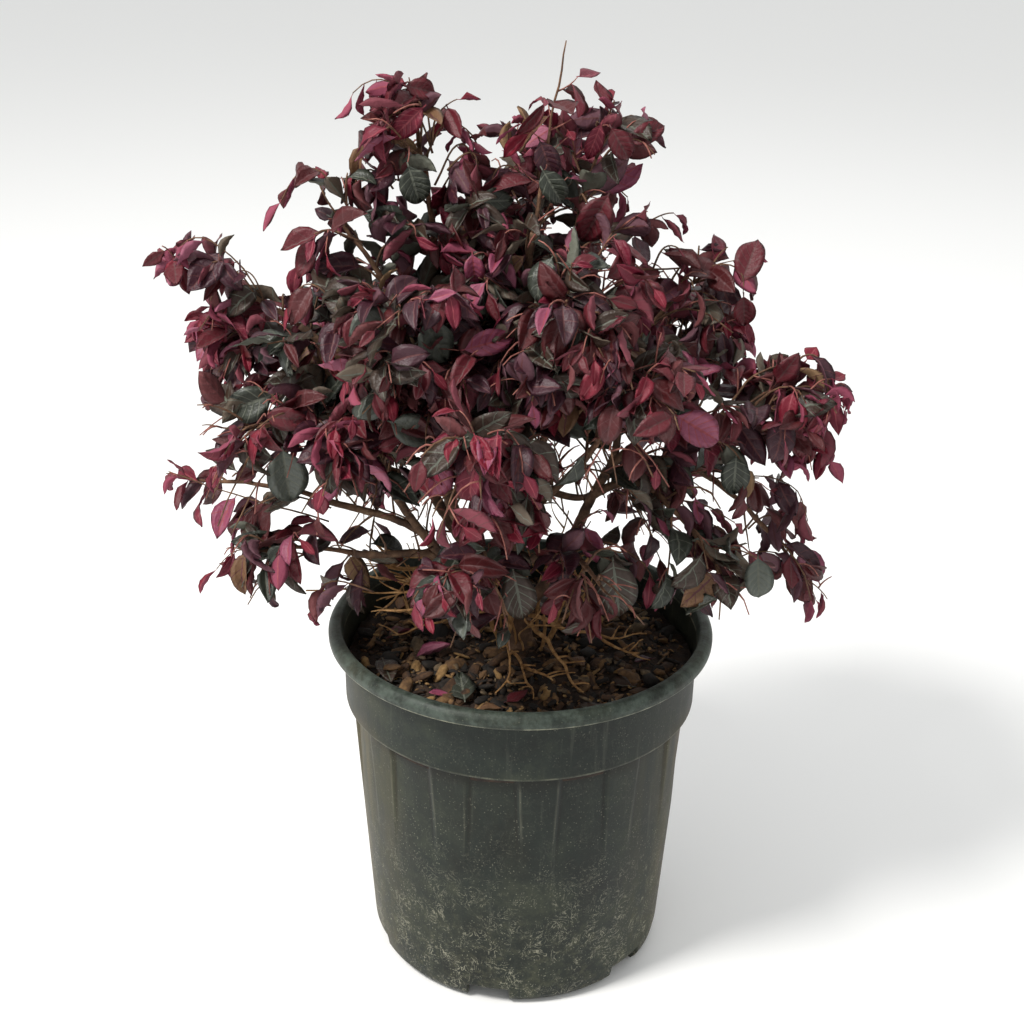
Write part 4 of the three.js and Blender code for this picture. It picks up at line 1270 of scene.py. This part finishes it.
# Tints of the leaves, from the youngest to the oldest: the upper side, the underside and the roughness
TINTS = [
    ("crimson", (114, 18, 39), (136, 60, 80), 0.52),
    ("burgundy", (104, 19, 41), (128, 56, 77), 0.51),
    ("wine", (88, 22, 32), (114, 52, 63), 0.5),
    ("maroon", (75, 22, 25), (100, 50, 52), 0.48),
    ("plum", (60, 27, 38), (92, 57, 67), 0.46),
    ("umber", (56, 42, 34), (90, 78, 66), 0.43),
    ("bottle", (49, 53, 45), (92, 93, 82), 0.4),
    ("slate", (82, 87, 80), (122, 125, 114), 0.34),
    ("dry", (108, 78, 54), (130, 102, 74), 0.6),
    ("rose", (134, 64, 88), (150, 86, 106), 0.48),
]
TINT_NAMES = [name for name, _, _, _ in TINTS]
OLDEST_TINT = TINT_NAMES.index("slate")
DRY_TINT = TINT_NAMES.index("dry")
ROSE_TINT = TINT_NAMES.index("rose")
# How far a leaf's age and its spray's tone take it along the tints, and how far it leans by itself
FIRST_TINT = 0.45
TINTS_PER_AGE = 3.3
TINTS_PER_TONE = 2
TINT_LEAN = 1.1
# Young leaves are dusty pink where their own lean from the spray's tint is this small
DUSTY_LEAN = 0.08
DUSTY_BELOW = 3
UNDERSIDE_DULLER = 0.25
# Tints of the stalk and midrib, and the one that goes with each tint of leaf
RIB_TINTS = [("young", (138, 58, 68)), ("middle", (88, 48, 50)), ("old", (92, 95, 84))]
RIB_OF_TINT = [0, 0, 1, 1, 1, 2, 2, 2, 1, 0]


def leaf_materials():
    materials = []
    for name, upper, under, roughness in TINTS:
        materials.append(leaf_material(f"leaf_{name}", upper, roughness))
        materials.append(leaf_material(f"leaf_{name}_underside", under, roughness + UNDERSIDE_DULLER))
    for name, colour in RIB_TINTS:
        materials.append(leaf_material(f"leaf_rib_{name}", colour, RIB_ROUGHNESS))
    return materials


class Leaf:
    """A leaf: its foot, the way it points, the way its upper side faces, its size, tint and curl."""

    def __init__(self, random, base, aim, face, length, breadth, tint):
        self.base = base
        self.aim = aim
        self.face = face
        self.length = length
        self.breadth = breadth
        self.tint = tint
        self.fold = random.between(*LEAF_FOLD)
        self.bend = random.between(*LEAF_BEND)
        self.wave = random.between(*LEAF_WAVE)
        self.twist = random.around(LEAF_TWIST)
        self.phase = random.next()
        self.marked = False

    def middle(self):
        return self.base + self.aim * self.length / 2

    def grid(self):
        if self.marked:
            return MARKED_GRID
        return next(grid for shortest, grid in GRIDS if self.length > shortest)


# Foliage

def space_of(mass, masses):
    """A mass's own space, as for the solids: a test of which of many points lie in it."""
    _, _, root, tip, half_width = mass
    root = place(*root)
    tip = place(*tip)
    half = np.linalg.norm(tip - root) / 2 + 1
    centre = (root + tip) / 2
    axis = unit(tip - root)
    walls = []
    for other in masses:
        if other is mass:
            continue
        near, far = nearest_points(root, tip, place(*other[2]), place(*other[3]))
        normal = unit(far - near)
        distance = np.linalg.norm(far - near) * half_width / (half_width + other[4]) - SPACE_CLEARANCE
        walls.append((normal, np.dot(near + normal * distance, normal)))
    normals = np.array([normal for normal, _ in walls])
    limits = np.array([limit for _, limit in walls])

    def fits(points, spare=0.0):
        points = np.atleast_2d(points)
        offset = points - centre
        lengthways = offset @ axis
        sideways = np.sqrt(np.maximum(0, (offset ** 2).sum(axis=1) - lengthways ** 2))
        fill = np.abs(lengthways / (half + spare)) ** BULGE + (sideways / (half_width + spare)) ** BULGE
        inside = (points @ normals.T <= limits + spare).all(axis=1)
        return (fill <= 1) & inside & (points[:, 2] >= LOWEST_LEAF - spare)

    return fits


def nearest_points(a, b, c, d):
    """The nearest points of two straight lines, each given by its ends."""
    one = b - a
    two = d - c
    between = a - c
    product = np.dot(one, two)
    one_squared = np.dot(one, one)
    two_squared = np.dot(two, two)
    determinant = one_squared * two_squared - product * product
    s = (product * np.dot(two, between) - two_squared * np.dot(one, between)) / max(determinant, 1e-9)
    s = share_of(s, 0, 1)
    t = share_of((product * s + np.dot(two, between)) / two_squared, 0, 1)
    s = share_of((product * t - np.dot(one, between)) / one_squared, 0, 1)
    return a + one * s, c + two * t


def open_air(points, spare=0.0):
    """The test of a space with no walls, where every point fits."""
    return np.ones(len(np.atleast_2d(points)), bool)


def off_to_side(aim, turn):
    """A direction at right angles to a stem, turned about it."""
    return turned(perpendicular(aim, np.array([0.2, 0.3, 1.0])), aim, turn)


def arching(start, direction, length, rise, sink, sway):
    """A curve that rises on its way, sways to one side and ends a little low."""
    middle = start + direction * length * 0.5 + UP * length * rise + sway
    end = start + direction * length - UP * length * sink
    return Curve(start, middle, end)


class Spray:
    """The twigs and leaves that grow from one stem or bough, and stay near its space."""

    def __init__(self, seed, fits, balls, tone, openness=1):
        self.random = Seeded(seed)
        self.openness = openness
        self.droop = CROWN_DROOP
        self.fits = fits
        self.balls = balls
        self.tone = tone
        self.twigs = []
        self.leaves = []

    def add_twig(self, kind, curve, steps=0):
        thick, thin, sides, least_steps = TWIG_FORMS[kind]
        self.twigs.append((curve, thick, thin, sides, max(least_steps, steps)))

    def grow_mass(self, mass):
        _, _, root, tip, half_width = mass
        random = self.random
        stem = stem_curve(mass)
        root = place(*root)
        tip = place(*tip)
        self.add_twig("stem", stem)
        area = np.linalg.norm(tip - root) * half_width
        count = max(FEWEST_TWIGS, round(area / AREA_PER_TWIG / self.openness))
        for index in range(count):
            t = TWIGS_FROM + TWIGS_OVER * (index + 0.5) / count
            turn = TWIG_SPIRAL * index + random.between(0, TWIG_TURN_SPREAD)
            self.grow_twig(stem, t, turn, random.around(TWIG_TONE_SPREAD))
        self.grow_end(stem, tip)

    def grow_bare_stem(self, mass):
        """A thin leader that stands above the crown, with a few small leaves up its length."""
        random = self.random
        stem = stem_curve(mass)
        self.droop = EDGE_DROOP
        self.add_twig("leader", stem)
        for index in range(LEADER_SHOOTS):
            t = mix(*LEADER_SHOOT_PLACES, index / (LEADER_SHOOTS - 1))
            out = turned(np.array([1.0, 0, 0]), UP, TWIG_SPIRAL * index)
            start = stem.at(t)
            reach = mix(*LEADER_REACH, t) * random.between(0.8, 1.2)
            end = start + out * reach + UP * reach * random.between(0.3, 1.0)
            shoot = Curve(start, mix(start, end, 0.5) + out * 2, end)
            self.add_twig("leader shoot", shoot)
            self.leaves_along(shoot, reach, bare=0.2, tone=-0.4, age=0.05)

    def grow_edge_shoot(self, start, crest, tip):
        start = np.array(start, float)
        tip = np.array(tip, float)
        curve = Curve(start, 2 * np.array(crest) - mix(start, tip, 0.5), tip)
        self.droop = EDGE_DROOP
        self.add_twig("edge shoot", curve)
        self.leaves_along(curve, curve.length(), bare=0.25, tone=0, age=0.1, spacing=EDGE_LEAF_SPACING)

    def grow_on_bough(self, bough):
        """Leafy twigs on a bough inside the crown, and short bare ones lower down, where sky shows."""
        random = self.random
        count = int(bough.length() / BOUGH_TWIG_SPACING)
        for index in range(count):
            t = mix(*BOUGH_TWIG_PLACES, (index + 0.5) / count)
            start = bough.at(t)
            aim = bough.aim(t)
            direction = unit(aim * 0.5 + off_to_side(aim, TWIG_SPIRAL * index + random.next()) + UP * 0.25)
            leafy = start[2] > LEAFY_FROM
            length = random.between(*(LEAFY_TWIG_LENGTH if leafy else BARE_TWIG_LENGTH))
            sway = np.cross(direction, UP) * length * random.around(0.25)
            sink = random.between(-0.2, 0.25)
            curve = arching(start, direction, length, rise=0.12, sink=sink, sway=sway)
            self.add_twig("bough twig", curve)
            if leafy:
                self.grow_shoots(curve, length, random.around(0.5))
                self.leaves_along(curve, length, bare=0.25, tone=random.around(0.5), age=0.5)
            elif random.next() < FORKED_SHARE:
                fork = curve.at(0.5)
                tip = fork + unit(direction + np.cross(direction, UP) * random.around(1.4)) * length * 0.45
                self.add_twig("bare fork", Curve(fork, mix(fork, tip, 0.5) + UP * 2, tip))

    def reach(self, start, direction):
        """How far a twig can go before it leaves the mass's space."""
        steps = np.arange(REACH_STEP, LONGEST_TWIG, REACH_STEP)
        places = start + direction * steps[:, None]
        in_box = ((places > BOX_LOW) & (places < BOX_HIGH)).all(axis=1)
        inside = self.fits(places) & in_box
        return REACH_STEP * (len(steps) if inside.all() else int(np.argmin(inside)))

    def grow_twig(self, stem, t, turn, tone):
        random = self.random
        start = stem.at(t)
        aim = stem.aim(t)
        spread = mix(TWIG_SPREAD, TIP_TWIG_SPREAD, t) * random.between(0.75, 1.2)
        direction = aim * math.cos(spread) + off_to_side(aim, turn) * math.sin(spread)
        length = self.reach(start, direction) * random.between(*TWIG_FILL)
        if length < SHORTEST_TWIG:
            return
        rise = UP * length * random.between(*TWIG_RISE)
        droop = UP * length * random.between(*TWIG_DROOP)
        sway = np.cross(direction, UP) * length * random.around(TWIG_SWAY)
        curve = Curve(
            start,
            start + direction * length * 0.36 + rise,
            start + direction * length * 0.7 + rise + sway,
            start + direction * length - droop,
        )
        self.add_twig("twig", curve, round(length / TWIG_STEP))
        self.grow_shoots(curve, length, tone)
        self.leaves_along(curve, length, bare=0.3, tone=tone, age=0.5)

    def grow_end(self, stem, tip):
        """The shoot at the stem's end, which reaches the furthest tip of the mass."""
        start = stem.at(1)
        aim = stem.aim(1)
        length = np.linalg.norm(tip - start)
        curve = Curve(start, start + aim * length * 0.5, mix(start, tip, 0.7) + UP * length * 0.1, tip)
        self.add_twig("end", curve)
        self.grow_shoots(curve, length, END_TONE)
        self.leaves_along(curve, length, bare=0.05, tone=END_TONE, age=0.1)

    def grow_shoots(self, twig, twig_length, tone):
        """Shoots to the left and right of a twig by turns, shorter towards its tip."""
        random = self.random
        count = int(twig_length * SHOOTS_PER_SPACING / SHOOT_SPACING / self.openness)
        for index in range(count):
            t = SHOOTS_FROM + SHOOTS_OVER * (index + random.between(0.2, 0.8)) / max(1, count)
            sign = 1 if index % 2 == 0 else -1
            aim = twig.aim(t)
            level = perpendicular(aim, np.array([-aim[1], aim[0], random.around(0.9)]))
            forward = aim * random.between(0.4, 1.0)
            direction = unit(forward + level * sign * 0.7 + UP * random.between(-0.3, 0.5))
            start = twig.at(t)
            longest = (SHOOT_LENGTH + SHOOT_LENGTH_PER_TWIG * twig_length) * (SHOOT_AT_FOOT - SHOOT_LOSS * t)
            wanted = longest * random.between(0.6, 1.15)
            length = min(wanted, self.reach(start, direction) * 0.9 + RAGGED * random.next())
            if length < SHORTEST_SHOOT:
                continue
            sway = level * length * random.around(SHOOT_SWAY)
            rise = random.between(*SHOOT_RISE)
            curve = arching(start, direction, length, rise, random.between(*SHOOT_SINK), sway)
            self.add_twig("shoot", curve)
            self.leaves_along(curve, length, bare=0.18, tone=tone + random.around(0.3), age=0.3 * (1 - t))

    def leaves_along(self, twig, length, bare, tone, age, spacing=LEAF_SPACING):
        """Leaves to both sides by turns from a twig's tip back to its bare foot, older as they go."""
        count = max(2, round(length * (1 - bare) / spacing))
        for index in range(count + 1):
            t = 1 - (1 - bare) * index / count
            sign = 1 if index % 2 == 0 else -1
            leaf_age = age + AGE_OVER_TWIG * (1 - t) + AGE_PER_LEAF * min(index, AGING_LEAVES)
            leaf_age += self.random.around(AGE_SPREAD)
            self.grow_leaf(twig, t, sign, min(1.0, max(0.0, leaf_age)), tone)

    def grow_leaf(self, twig, t, sign, age, tone):
        """One leaf, a little shorter and further round at each try until it has room."""
        random = self.random
        node = twig.at(t)
        twig_aim = twig.aim(t)
        level = perpendicular(twig_aim, np.array([-twig_aim[1], twig_aim[0], 0.2]))
        outward = unit(node * (1, 1, 0))
        forward = 1.2 if t > 0.99 else random.between(0.3, 0.8)
        for attempt in range(LEAF_TRIES):
            side = turned(level, twig_aim, random.around(LEAF_ROUND + FURTHER_PER_TRY * attempt))
            sideways = side * sign * random.between(0.4, 1.0)
            aim = unit(twig_aim * forward + sideways - UP * random.between(*self.droop))
            loose = np.array([random.around(1), random.around(1), random.around(1)])
            face = perpendicular(aim, UP * FACE_UP + FACE_OUT * outward + loose * FACE_LOOSE)
            length = mix(YOUNG_LEAF, OLD_LEAF, age) * random.between(0.8, 1.15)
            length *= 1 - SHORTER_PER_TRY * attempt
            breadth = length * mix(YOUNG_BREADTH, OLD_BREADTH, age) * random.between(0.85, 1.1)
            base = node + aim * LEAF_FOOT_OUT
            marks = base + aim * length * LEAF_MARKS
            if self.fits(marks, RAGGED).all() and self.is_clear(marks):
                self.leaves.append(Leaf(random, base, aim, face, length, breadth, self.tint(age, tone)))
                return

    def is_clear(self, points):
        gaps = np.linalg.norm(points[:, None, :] - self.balls[None, :, :3], axis=2) - self.balls[None, :, 3]
        return gaps.min() > LIMB_CLEARANCE

    def tint(self, age, tone):
        """Young leaves are crimson and old ones dark, and every spray leans its own way."""
        if age > DRY_AGE and self.random.next() < DRY_SHARE:
            return DRY_TINT
        lean = self.random.around(TINT_LEAN)
        value = FIRST_TINT + TINTS_PER_AGE * age + TINTS_PER_TONE * tone + self.tone + lean
        if abs(lean) < DUSTY_LEAN and value < DUSTY_BELOW:
            return ROSE_TINT
        return int(min(OLDEST_TINT, max(0, round(value))))


def grow_sprays(limbs, balls):
    """Every mass's own spray, and the one on the bough that carries it."""
    curves = {name: curve for name, curve, _ in limbs}
    masses = [mass for _, _, _, group in CROWN for mass in group]
    seed = FIRST_SEED
    sprays = {}
    for bough, _, _, group in CROWN:
        for mass in group:
            name = mass[0]
            bare = name in BARE_STEMS
            fits = open_air if bare else space_of(mass, masses)
            spray = Spray(seed, fits, balls, DARKER.get(name, 0), SPARSER.get(name, 1))
            if bare:
                spray.grow_bare_stem(mass)
            else:
                spray.grow_mass(mass)
            # The spray on the bough inside the crown, its leaves darker as painted shade
            inner = Spray(seed + 1, open_air, balls, INNER_SHADE_TINT_STEPS)
            inner.grow_on_bough(curves[f"bough_{bough if mass is group[0] else name}"])
            sprays[name] = [spray, inner]
            seed += SEED_STEP
    return sprays


def open_sky_gaps(sprays):
    """Takes out the leaves that hide the sky where the photo shows it."""
    camera = np.array(CAMERA_PLACE)
    lines = [(unit(np.array([x, 0, height]) - camera), radius) for x, height, radius in SKY_GAPS]

    def hides_sky(leaf):
        middle = leaf.middle() - camera
        return any(np.linalg.norm(np.cross(middle, line)) < radius + SKY_GAP_MARGIN for line, radius in lines)

    for spray in sprays:
        spray.leaves = [leaf for leaf in spray.leaves if not hides_sky(leaf)]


def grow_edge_shoots(sprays, balls):
    seed = EDGE_SEED
    for name, shoots in EDGE_SHOOTS:
        for start, crest, tip, tone in shoots:
            spray = Spray(seed, open_air, balls, tone)
            spray.grow_edge_shoot(start, crest, tip)
            sprays[name].append(spray)
            seed += SEED_STEP


def mark_leaves(sprays):
    """Makes the leaf whose foot is nearest to where a marked one's would be the one that stands out.

    Other leaves that would hide it are taken away.
    """
    camera = np.array(CAMERA_PLACE)
    leaves = [leaf for spray in sprays for leaf in spray.leaves]
    bases = np.array([leaf.base for leaf in leaves])
    middles = np.array([leaf.middle() for leaf in leaves])
    hidden = set()
    for middle, aim, length, breadth, tint in MARKED_LEAVES:
        towards = unit(camera - np.array(middle))
        aim = perpendicular(towards, np.array(aim, float))
        foot = np.array(middle) - aim * length / 2
        chosen = int(np.argmin(np.linalg.norm(bases - foot, axis=1)))
        bases[chosen] = np.inf
        leaf = leaves[chosen]
        leaf.aim = aim
        leaf.face = towards
        leaf.length = length
        leaf.breadth = breadth
        leaf.tint = TINT_NAMES.index(tint)
        leaf.fold, leaf.bend, leaf.twist = MARKED_CURL
        leaf.marked = True
        offset = middles - leaf.middle()
        ahead = offset @ towards
        beside = np.linalg.norm(offset - ahead[:, None] * towards, axis=1)
        in_front = (ahead > -2) & (ahead < HIDING_DEPTH) & (beside < HIDING_BREADTH * length)
        hidden.update(id(leaves[other]) for other in np.flatnonzero(in_front) if not leaves[other].marked)
    for spray in sprays:
        spray.leaves = [leaf for leaf in spray.leaves if id(leaf) not in hidden]


def make_foliage(limbs, materials):
    balls = limb_balls(limbs)
    sprays = grow_sprays(limbs, balls)
    open_sky_gaps(every_spray(sprays))
    grow_edge_shoots(sprays, balls)
    mark_leaves(every_spray(sprays))
    twigs = Gathered()
    for bough, _, _, group in CROWN:
        for first in range(0, len(group), MASSES_PER_PIECE):
            names = [mass[0] for mass in group[first:first + MASSES_PER_PIECE]]
            leaves = Gathered()
            for spray in [spray for name in names for spray in sprays[name]]:
                add_twigs(twigs, spray.twigs)
                add_leaves(leaves, spray.leaves)
            piece = f"leaves_{bough}_{1 + first // MASSES_PER_PIECE}"
            leaves.piece(piece, materials, "foliage", [f"foliage_{name}" for name in names])
    twigs.piece("twigs", [bark_material(name, 220, *shades) for name, *shades in TWIG_TINTS], "bark")


def every_spray(sprays):
    return [spray for group in sprays.values() for spray in group]


def strayed(points, stray):
    """The points moved by a field that is the same for all that meet at a place, so joints stay joined."""
    field = [noise.noise_vector(Vector(point) * STRAY_SCALE) for point in points]
    return points + np.array(field) * stray


def add_twigs(gathered, twigs):
    for curve, thick, thin, sides, steps in twigs:
        points, quads = tube(curve, sides, steps, taper(thick, thin))
        gathered.add(strayed(points, TWIG_STRAY), quads, 0 if thick > RED_TWIG_RADIUS else 1)


def add_leaves(gathered, leaves):
    for leaf in leaves:
        leaf.base = strayed(leaf.base[None, :], TWIG_STRAY)[0]
        grid = leaf.grid()
        points = grid.points(leaf)
        if (points < LEAF_BOX_LOW).any() or (points > LEAF_BOX_HIGH).any():
            continue
        rib = 2 * len(TINTS) + RIB_OF_TINT[leaf.tint]
        slots = np.where(grid.rib_faces, rib, 2 * leaf.tint + grid.under_faces)
        gathered.add(points, grid.quads, slots)


# Dry twigs and fallen leaves round the trunk's foot

# Dry twigs that lie on the compost or lean over it, each by the points that its curve starts at, is
# pulled by and ends at
DRY_TWIGS = [
    [(-6, -6, 266), (-10, -22, 258), (-2, -45, 250), (-14, -76, 246)],
    [(-5, -30, 254), (4, -55, 251), (9, -88, 247)],
    [(2, -46, 250), (14, -54, 250), (24, -62, 247)],
    [(8, -4, 268), (34, -16, 262), (66, -14, 254), (94, 2, 251)],
    [(60, -14, 255), (72, -26, 253), (86, -26, 250)],
    [(-10, 4, 276), (-50, 22, 280), (-92, 30, 270), (-124, 40, 276)],
    [(-60, 24, 278), (-84, 44, 268), (-108, 54, 268)],
    [(-12, -2, 268), (-48, 2, 262), (-84, 14, 258), (-108, 10, 264)],
    [(-50, 2, 262), (-70, -14, 260), (-92, -18, 256)],
    [(-8, 8, 280), (-44, 40, 290), (-86, 48, 284), (-112, 64, 288)],
    [(6, -8, 262), (22, -40, 262), (30, -64, 254), (48, -82, 250)],
    [(-8, 2, 296), (-47, 0, 316), (-83, 0, 313), (-107, 0, 306)],
    [(-9, -4, 290), (-50, -5, 312), (-83, -5, 303), (-112, -5, 306)],
    [(-6, -10, 284), (-40, -25, 297), (-95, -25, 293), (-152, -25, 297)],
    [(-8, 6, 286), (-40, 10, 298), (-80, 10, 294), (-111, 10, 304)],
    [(-50, -12, 304), (-77, -20, 294), (-97, -20, 284)],
    [(-8, -12, 276), (-40, -40, 289), (-75, -40, 295), (-104, -40, 286)],
    [(-20, 0, 280), (-60, 4, 306), (-92, 4, 298), (-122, 0, 302)],
    [(-90, 4, 299), (-102, 10, 314), (-112, 10, 322)],
    [(-70, 2, 302), (-86, -8, 284), (-102, -12, 272)],
]
# Fallen leaves: where they lie, their length and their tint
FALLEN_LEAVES = [
    ((-61, -18), 27, "rose"), ((-88, 17), 24, "wine"), ((-93, -43), 30, "umber"), ((-39, -68), 32, "bottle"),
    ((-56, -75), 14, "rose"), ((-1, -77), 20, "wine"), ((70, -50), 22, "umber"), ((40, -30), 24, "dry"),
    ((90, -20), 18, "plum"), ((20, 60), 26, "umber"), ((-40, 80), 28, "wine"), ((70, 50), 25, "dry"),
    ((0, 100), 22, "plum"), ((-90, 60), 24, "dry"), ((-20, -96), 18, "dry"), ((52, -88), 20, "umber"),
]
FALLEN_LEAF_LIFT = 4.5
FALLEN_LEAF_SEED = 4409
# Thin dead stems that stand round the trunk's foot
BASE_STEMS = 9
DRY_TWIG_SEED = 3307
DRY_TWIG_SIDES = 6
DRY_TWIG_STEPS = 14


def kinked(random, points, spread):
    """The points with the ones between the ends moved a little aside."""
    moved = [np.array(point, float) for point in points]
    for point in moved[1:-1]:
        point += np.array([random.around(spread), random.around(spread), random.around(spread * 0.4)])
    return moved


def make_dry_twigs():
    random = Seeded(DRY_TWIG_SEED)
    sprigs = []
    for points in DRY_TWIGS:
        curve = Curve(*kinked(random, points, 4))
        sprigs.append((curve, 2.1 if len(points) > 3 else 1.3, 0.5))
        grow_forks(random, curve, sprigs, 3, 22)
    for index in range(BASE_STEMS):
        turn = TWIG_SPIRAL * index
        out = np.array([math.cos(turn), math.sin(turn), 0])
        start = out * random.between(9, 20) + UP * (SOIL_TOP - 4)
        height = random.between(30, 105)
        end = start + out * random.between(14, 58) + UP * height
        middle = mix(start, end, 0.5) + UP * height * 0.12 - out * 6
        curve = Curve(*kinked(random, [start, middle, mix(middle, end, 0.5), end], 7))
        sprigs.append((curve, random.between(0.9, 1.8), 0.5))
        grow_forks(random, curve, sprigs, 4, 36)
    twigs = Gathered()
    for curve, thick, thin in sprigs:
        radii = taper(thick, thin)
        points, quads = tube(curve, DRY_TWIG_SIDES, DRY_TWIG_STEPS, radii, relief_of(DRY_TWIG_LAYERS))
        twigs.add(strayed(points, DRY_TWIG_STRAY), quads)
    bark = bark_material("dry_twig", 200, (116, 82, 48), (164, 122, 76), (196, 158, 108))
    twigs.piece("dry_twigs", [bark], "bark")


def grow_forks(random, curve, sprigs, count, longest):
    for index in range(count):
        t = mix(0.3, 0.9, (index + random.next()) / count)
        start = curve.at(t)
        aim = curve.aim(t)
        aside = perpendicular(aim, np.array([random.around(1), random.around(1), 0.3]))
        length = longest * random.between(0.4, 1)
        end = start + unit(aim * 0.8 + aside) * length
        if end[2] > SOIL_TOP + 2:
            sprigs.append((Curve(start, mix(start, end, 0.5) + aside * 2, end), 0.8, 0.4))


def make_fallen_leaves(materials):
    random = Seeded(FALLEN_LEAF_SEED)
    fallen = []
    for (x, y), length, tint in FALLEN_LEAVES:
        turn = random.between(0, 2 * math.pi)
        aim = unit(np.array([math.cos(turn), math.sin(turn), random.around(0.12)]))
        face = perpendicular(aim, np.array([random.around(0.3), random.around(0.3), 1.0]))
        base = np.array([x, y, soil_height(x, y) + FALLEN_LEAF_LIFT]) - aim * length / 2
        leaf = Leaf(random, base, aim, face, length, length * OLD_BREADTH, TINT_NAMES.index(tint))
        leaf.bend = random.around(0.5)
        leaf.twist = random.around(0.3)
        fallen.append(leaf)
    gathered = Gathered()
    add_leaves(gathered, fallen)
    gathered.piece("fallen_leaves", materials, "foliage")


# Floor, light and camera

# Where the photo was taken from, and the way the camera was turned there
CAMERA_PLACE = (10.2, -1031.7, 813.3)
CAMERA_YAW = -0.017
CAMERA_PITCH = 0.424
CAMERA_ROLL = 0.014
CAMERA_LENS = 56.31
SENSOR_WIDTH = 36
# Lights: their place and size in metres, their power and their colour
LIGHTS = [
    ("key", (-1.4, -1.0, 2.5), 0.7, 76, (1.0, 0.98, 0.94)),
    ("rim", (0.6, 1.8, 2.4), 1.4, 9, (1.0, 1.0, 1.0)),
]
LIGHTS_AIM_AT = Vector((0, 0, 0.35))
WORLD_COLOUR = (0.97, 0.98, 0.97, 1)
WORLD_STRENGTH = 0.74
FLOOR_REACH = 30
FLOOR_COLOUR = (0.98, 0.98, 0.98, 1)


def make_camera():
    forward = np.array([
        math.sin(CAMERA_YAW) * math.cos(CAMERA_PITCH),
        math.cos(CAMERA_YAW) * math.cos(CAMERA_PITCH),
        -math.sin(CAMERA_PITCH),
    ])
    right = unit(np.cross(forward, UP))
    up = np.cross(right, forward)
    level = right * math.cos(CAMERA_ROLL) + up * math.sin(CAMERA_ROLL)
    upright = up * math.cos(CAMERA_ROLL) - right * math.sin(CAMERA_ROLL)
    data = bpy.data.cameras.new("camera")
    data.lens = CAMERA_LENS
    data.sensor_width = SENSOR_WIDTH
    camera = add_object("camera", data)
    turn = Matrix((level, upright, -forward)).transposed().to_4x4()
    camera.matrix_world = Matrix.Translation(Vector(CAMERA_PLACE) * MM) @ turn
    bpy.context.scene.camera = camera


def make_light(name, place_m, size, power, colour):
    data = bpy.data.lights.new(name, "AREA")
    data.shape = "DISK"
    data.size = size
    data.energy = power
    data.color = colour
    light = add_object(name, data)
    light.location = place_m
    light.rotation_mode = "QUATERNION"
    light.rotation_quaternion = (LIGHTS_AIM_AT - Vector(place_m)).to_track_quat("-Z", "Y")


def make_stage():
    corners = [(x * FLOOR_REACH, y * FLOOR_REACH, 0) for x, y in ((-1, -1), (1, -1), (1, 1), (-1, 1))]
    mesh = bpy.data.meshes.new("floor")
    mesh.from_pydata(corners, [], [(0, 1, 2, 3)])
    mesh.materials.append(Paint("floor", FLOOR_COLOUR, 0.9).material)
    floor = add_object("floor", mesh)
    world = bpy.data.worlds.new("world")
    world.use_nodes = True
    background = world.node_tree.nodes["Background"]
    background.inputs["Color"].default_value = WORLD_COLOUR
    background.inputs["Strength"].default_value = WORLD_STRENGTH
    bpy.context.scene.world = world
    for light in LIGHTS:
        make_light(*light)
    bpy.context.scene.view_settings.view_transform = "Standard"


# The field that twigs stray by starts from the clock unless it has a seed
noise.seed_set(STRAY_SEED)
make_camera()
make_stage()
make_pot()
make_soil()
make_chips()
limbs = limb_curves()
make_limbs(limbs)
leaf_slots = leaf_materials()
make_foliage(limbs, leaf_slots)
make_dry_twigs()
make_fallen_leaves(leaf_slots)
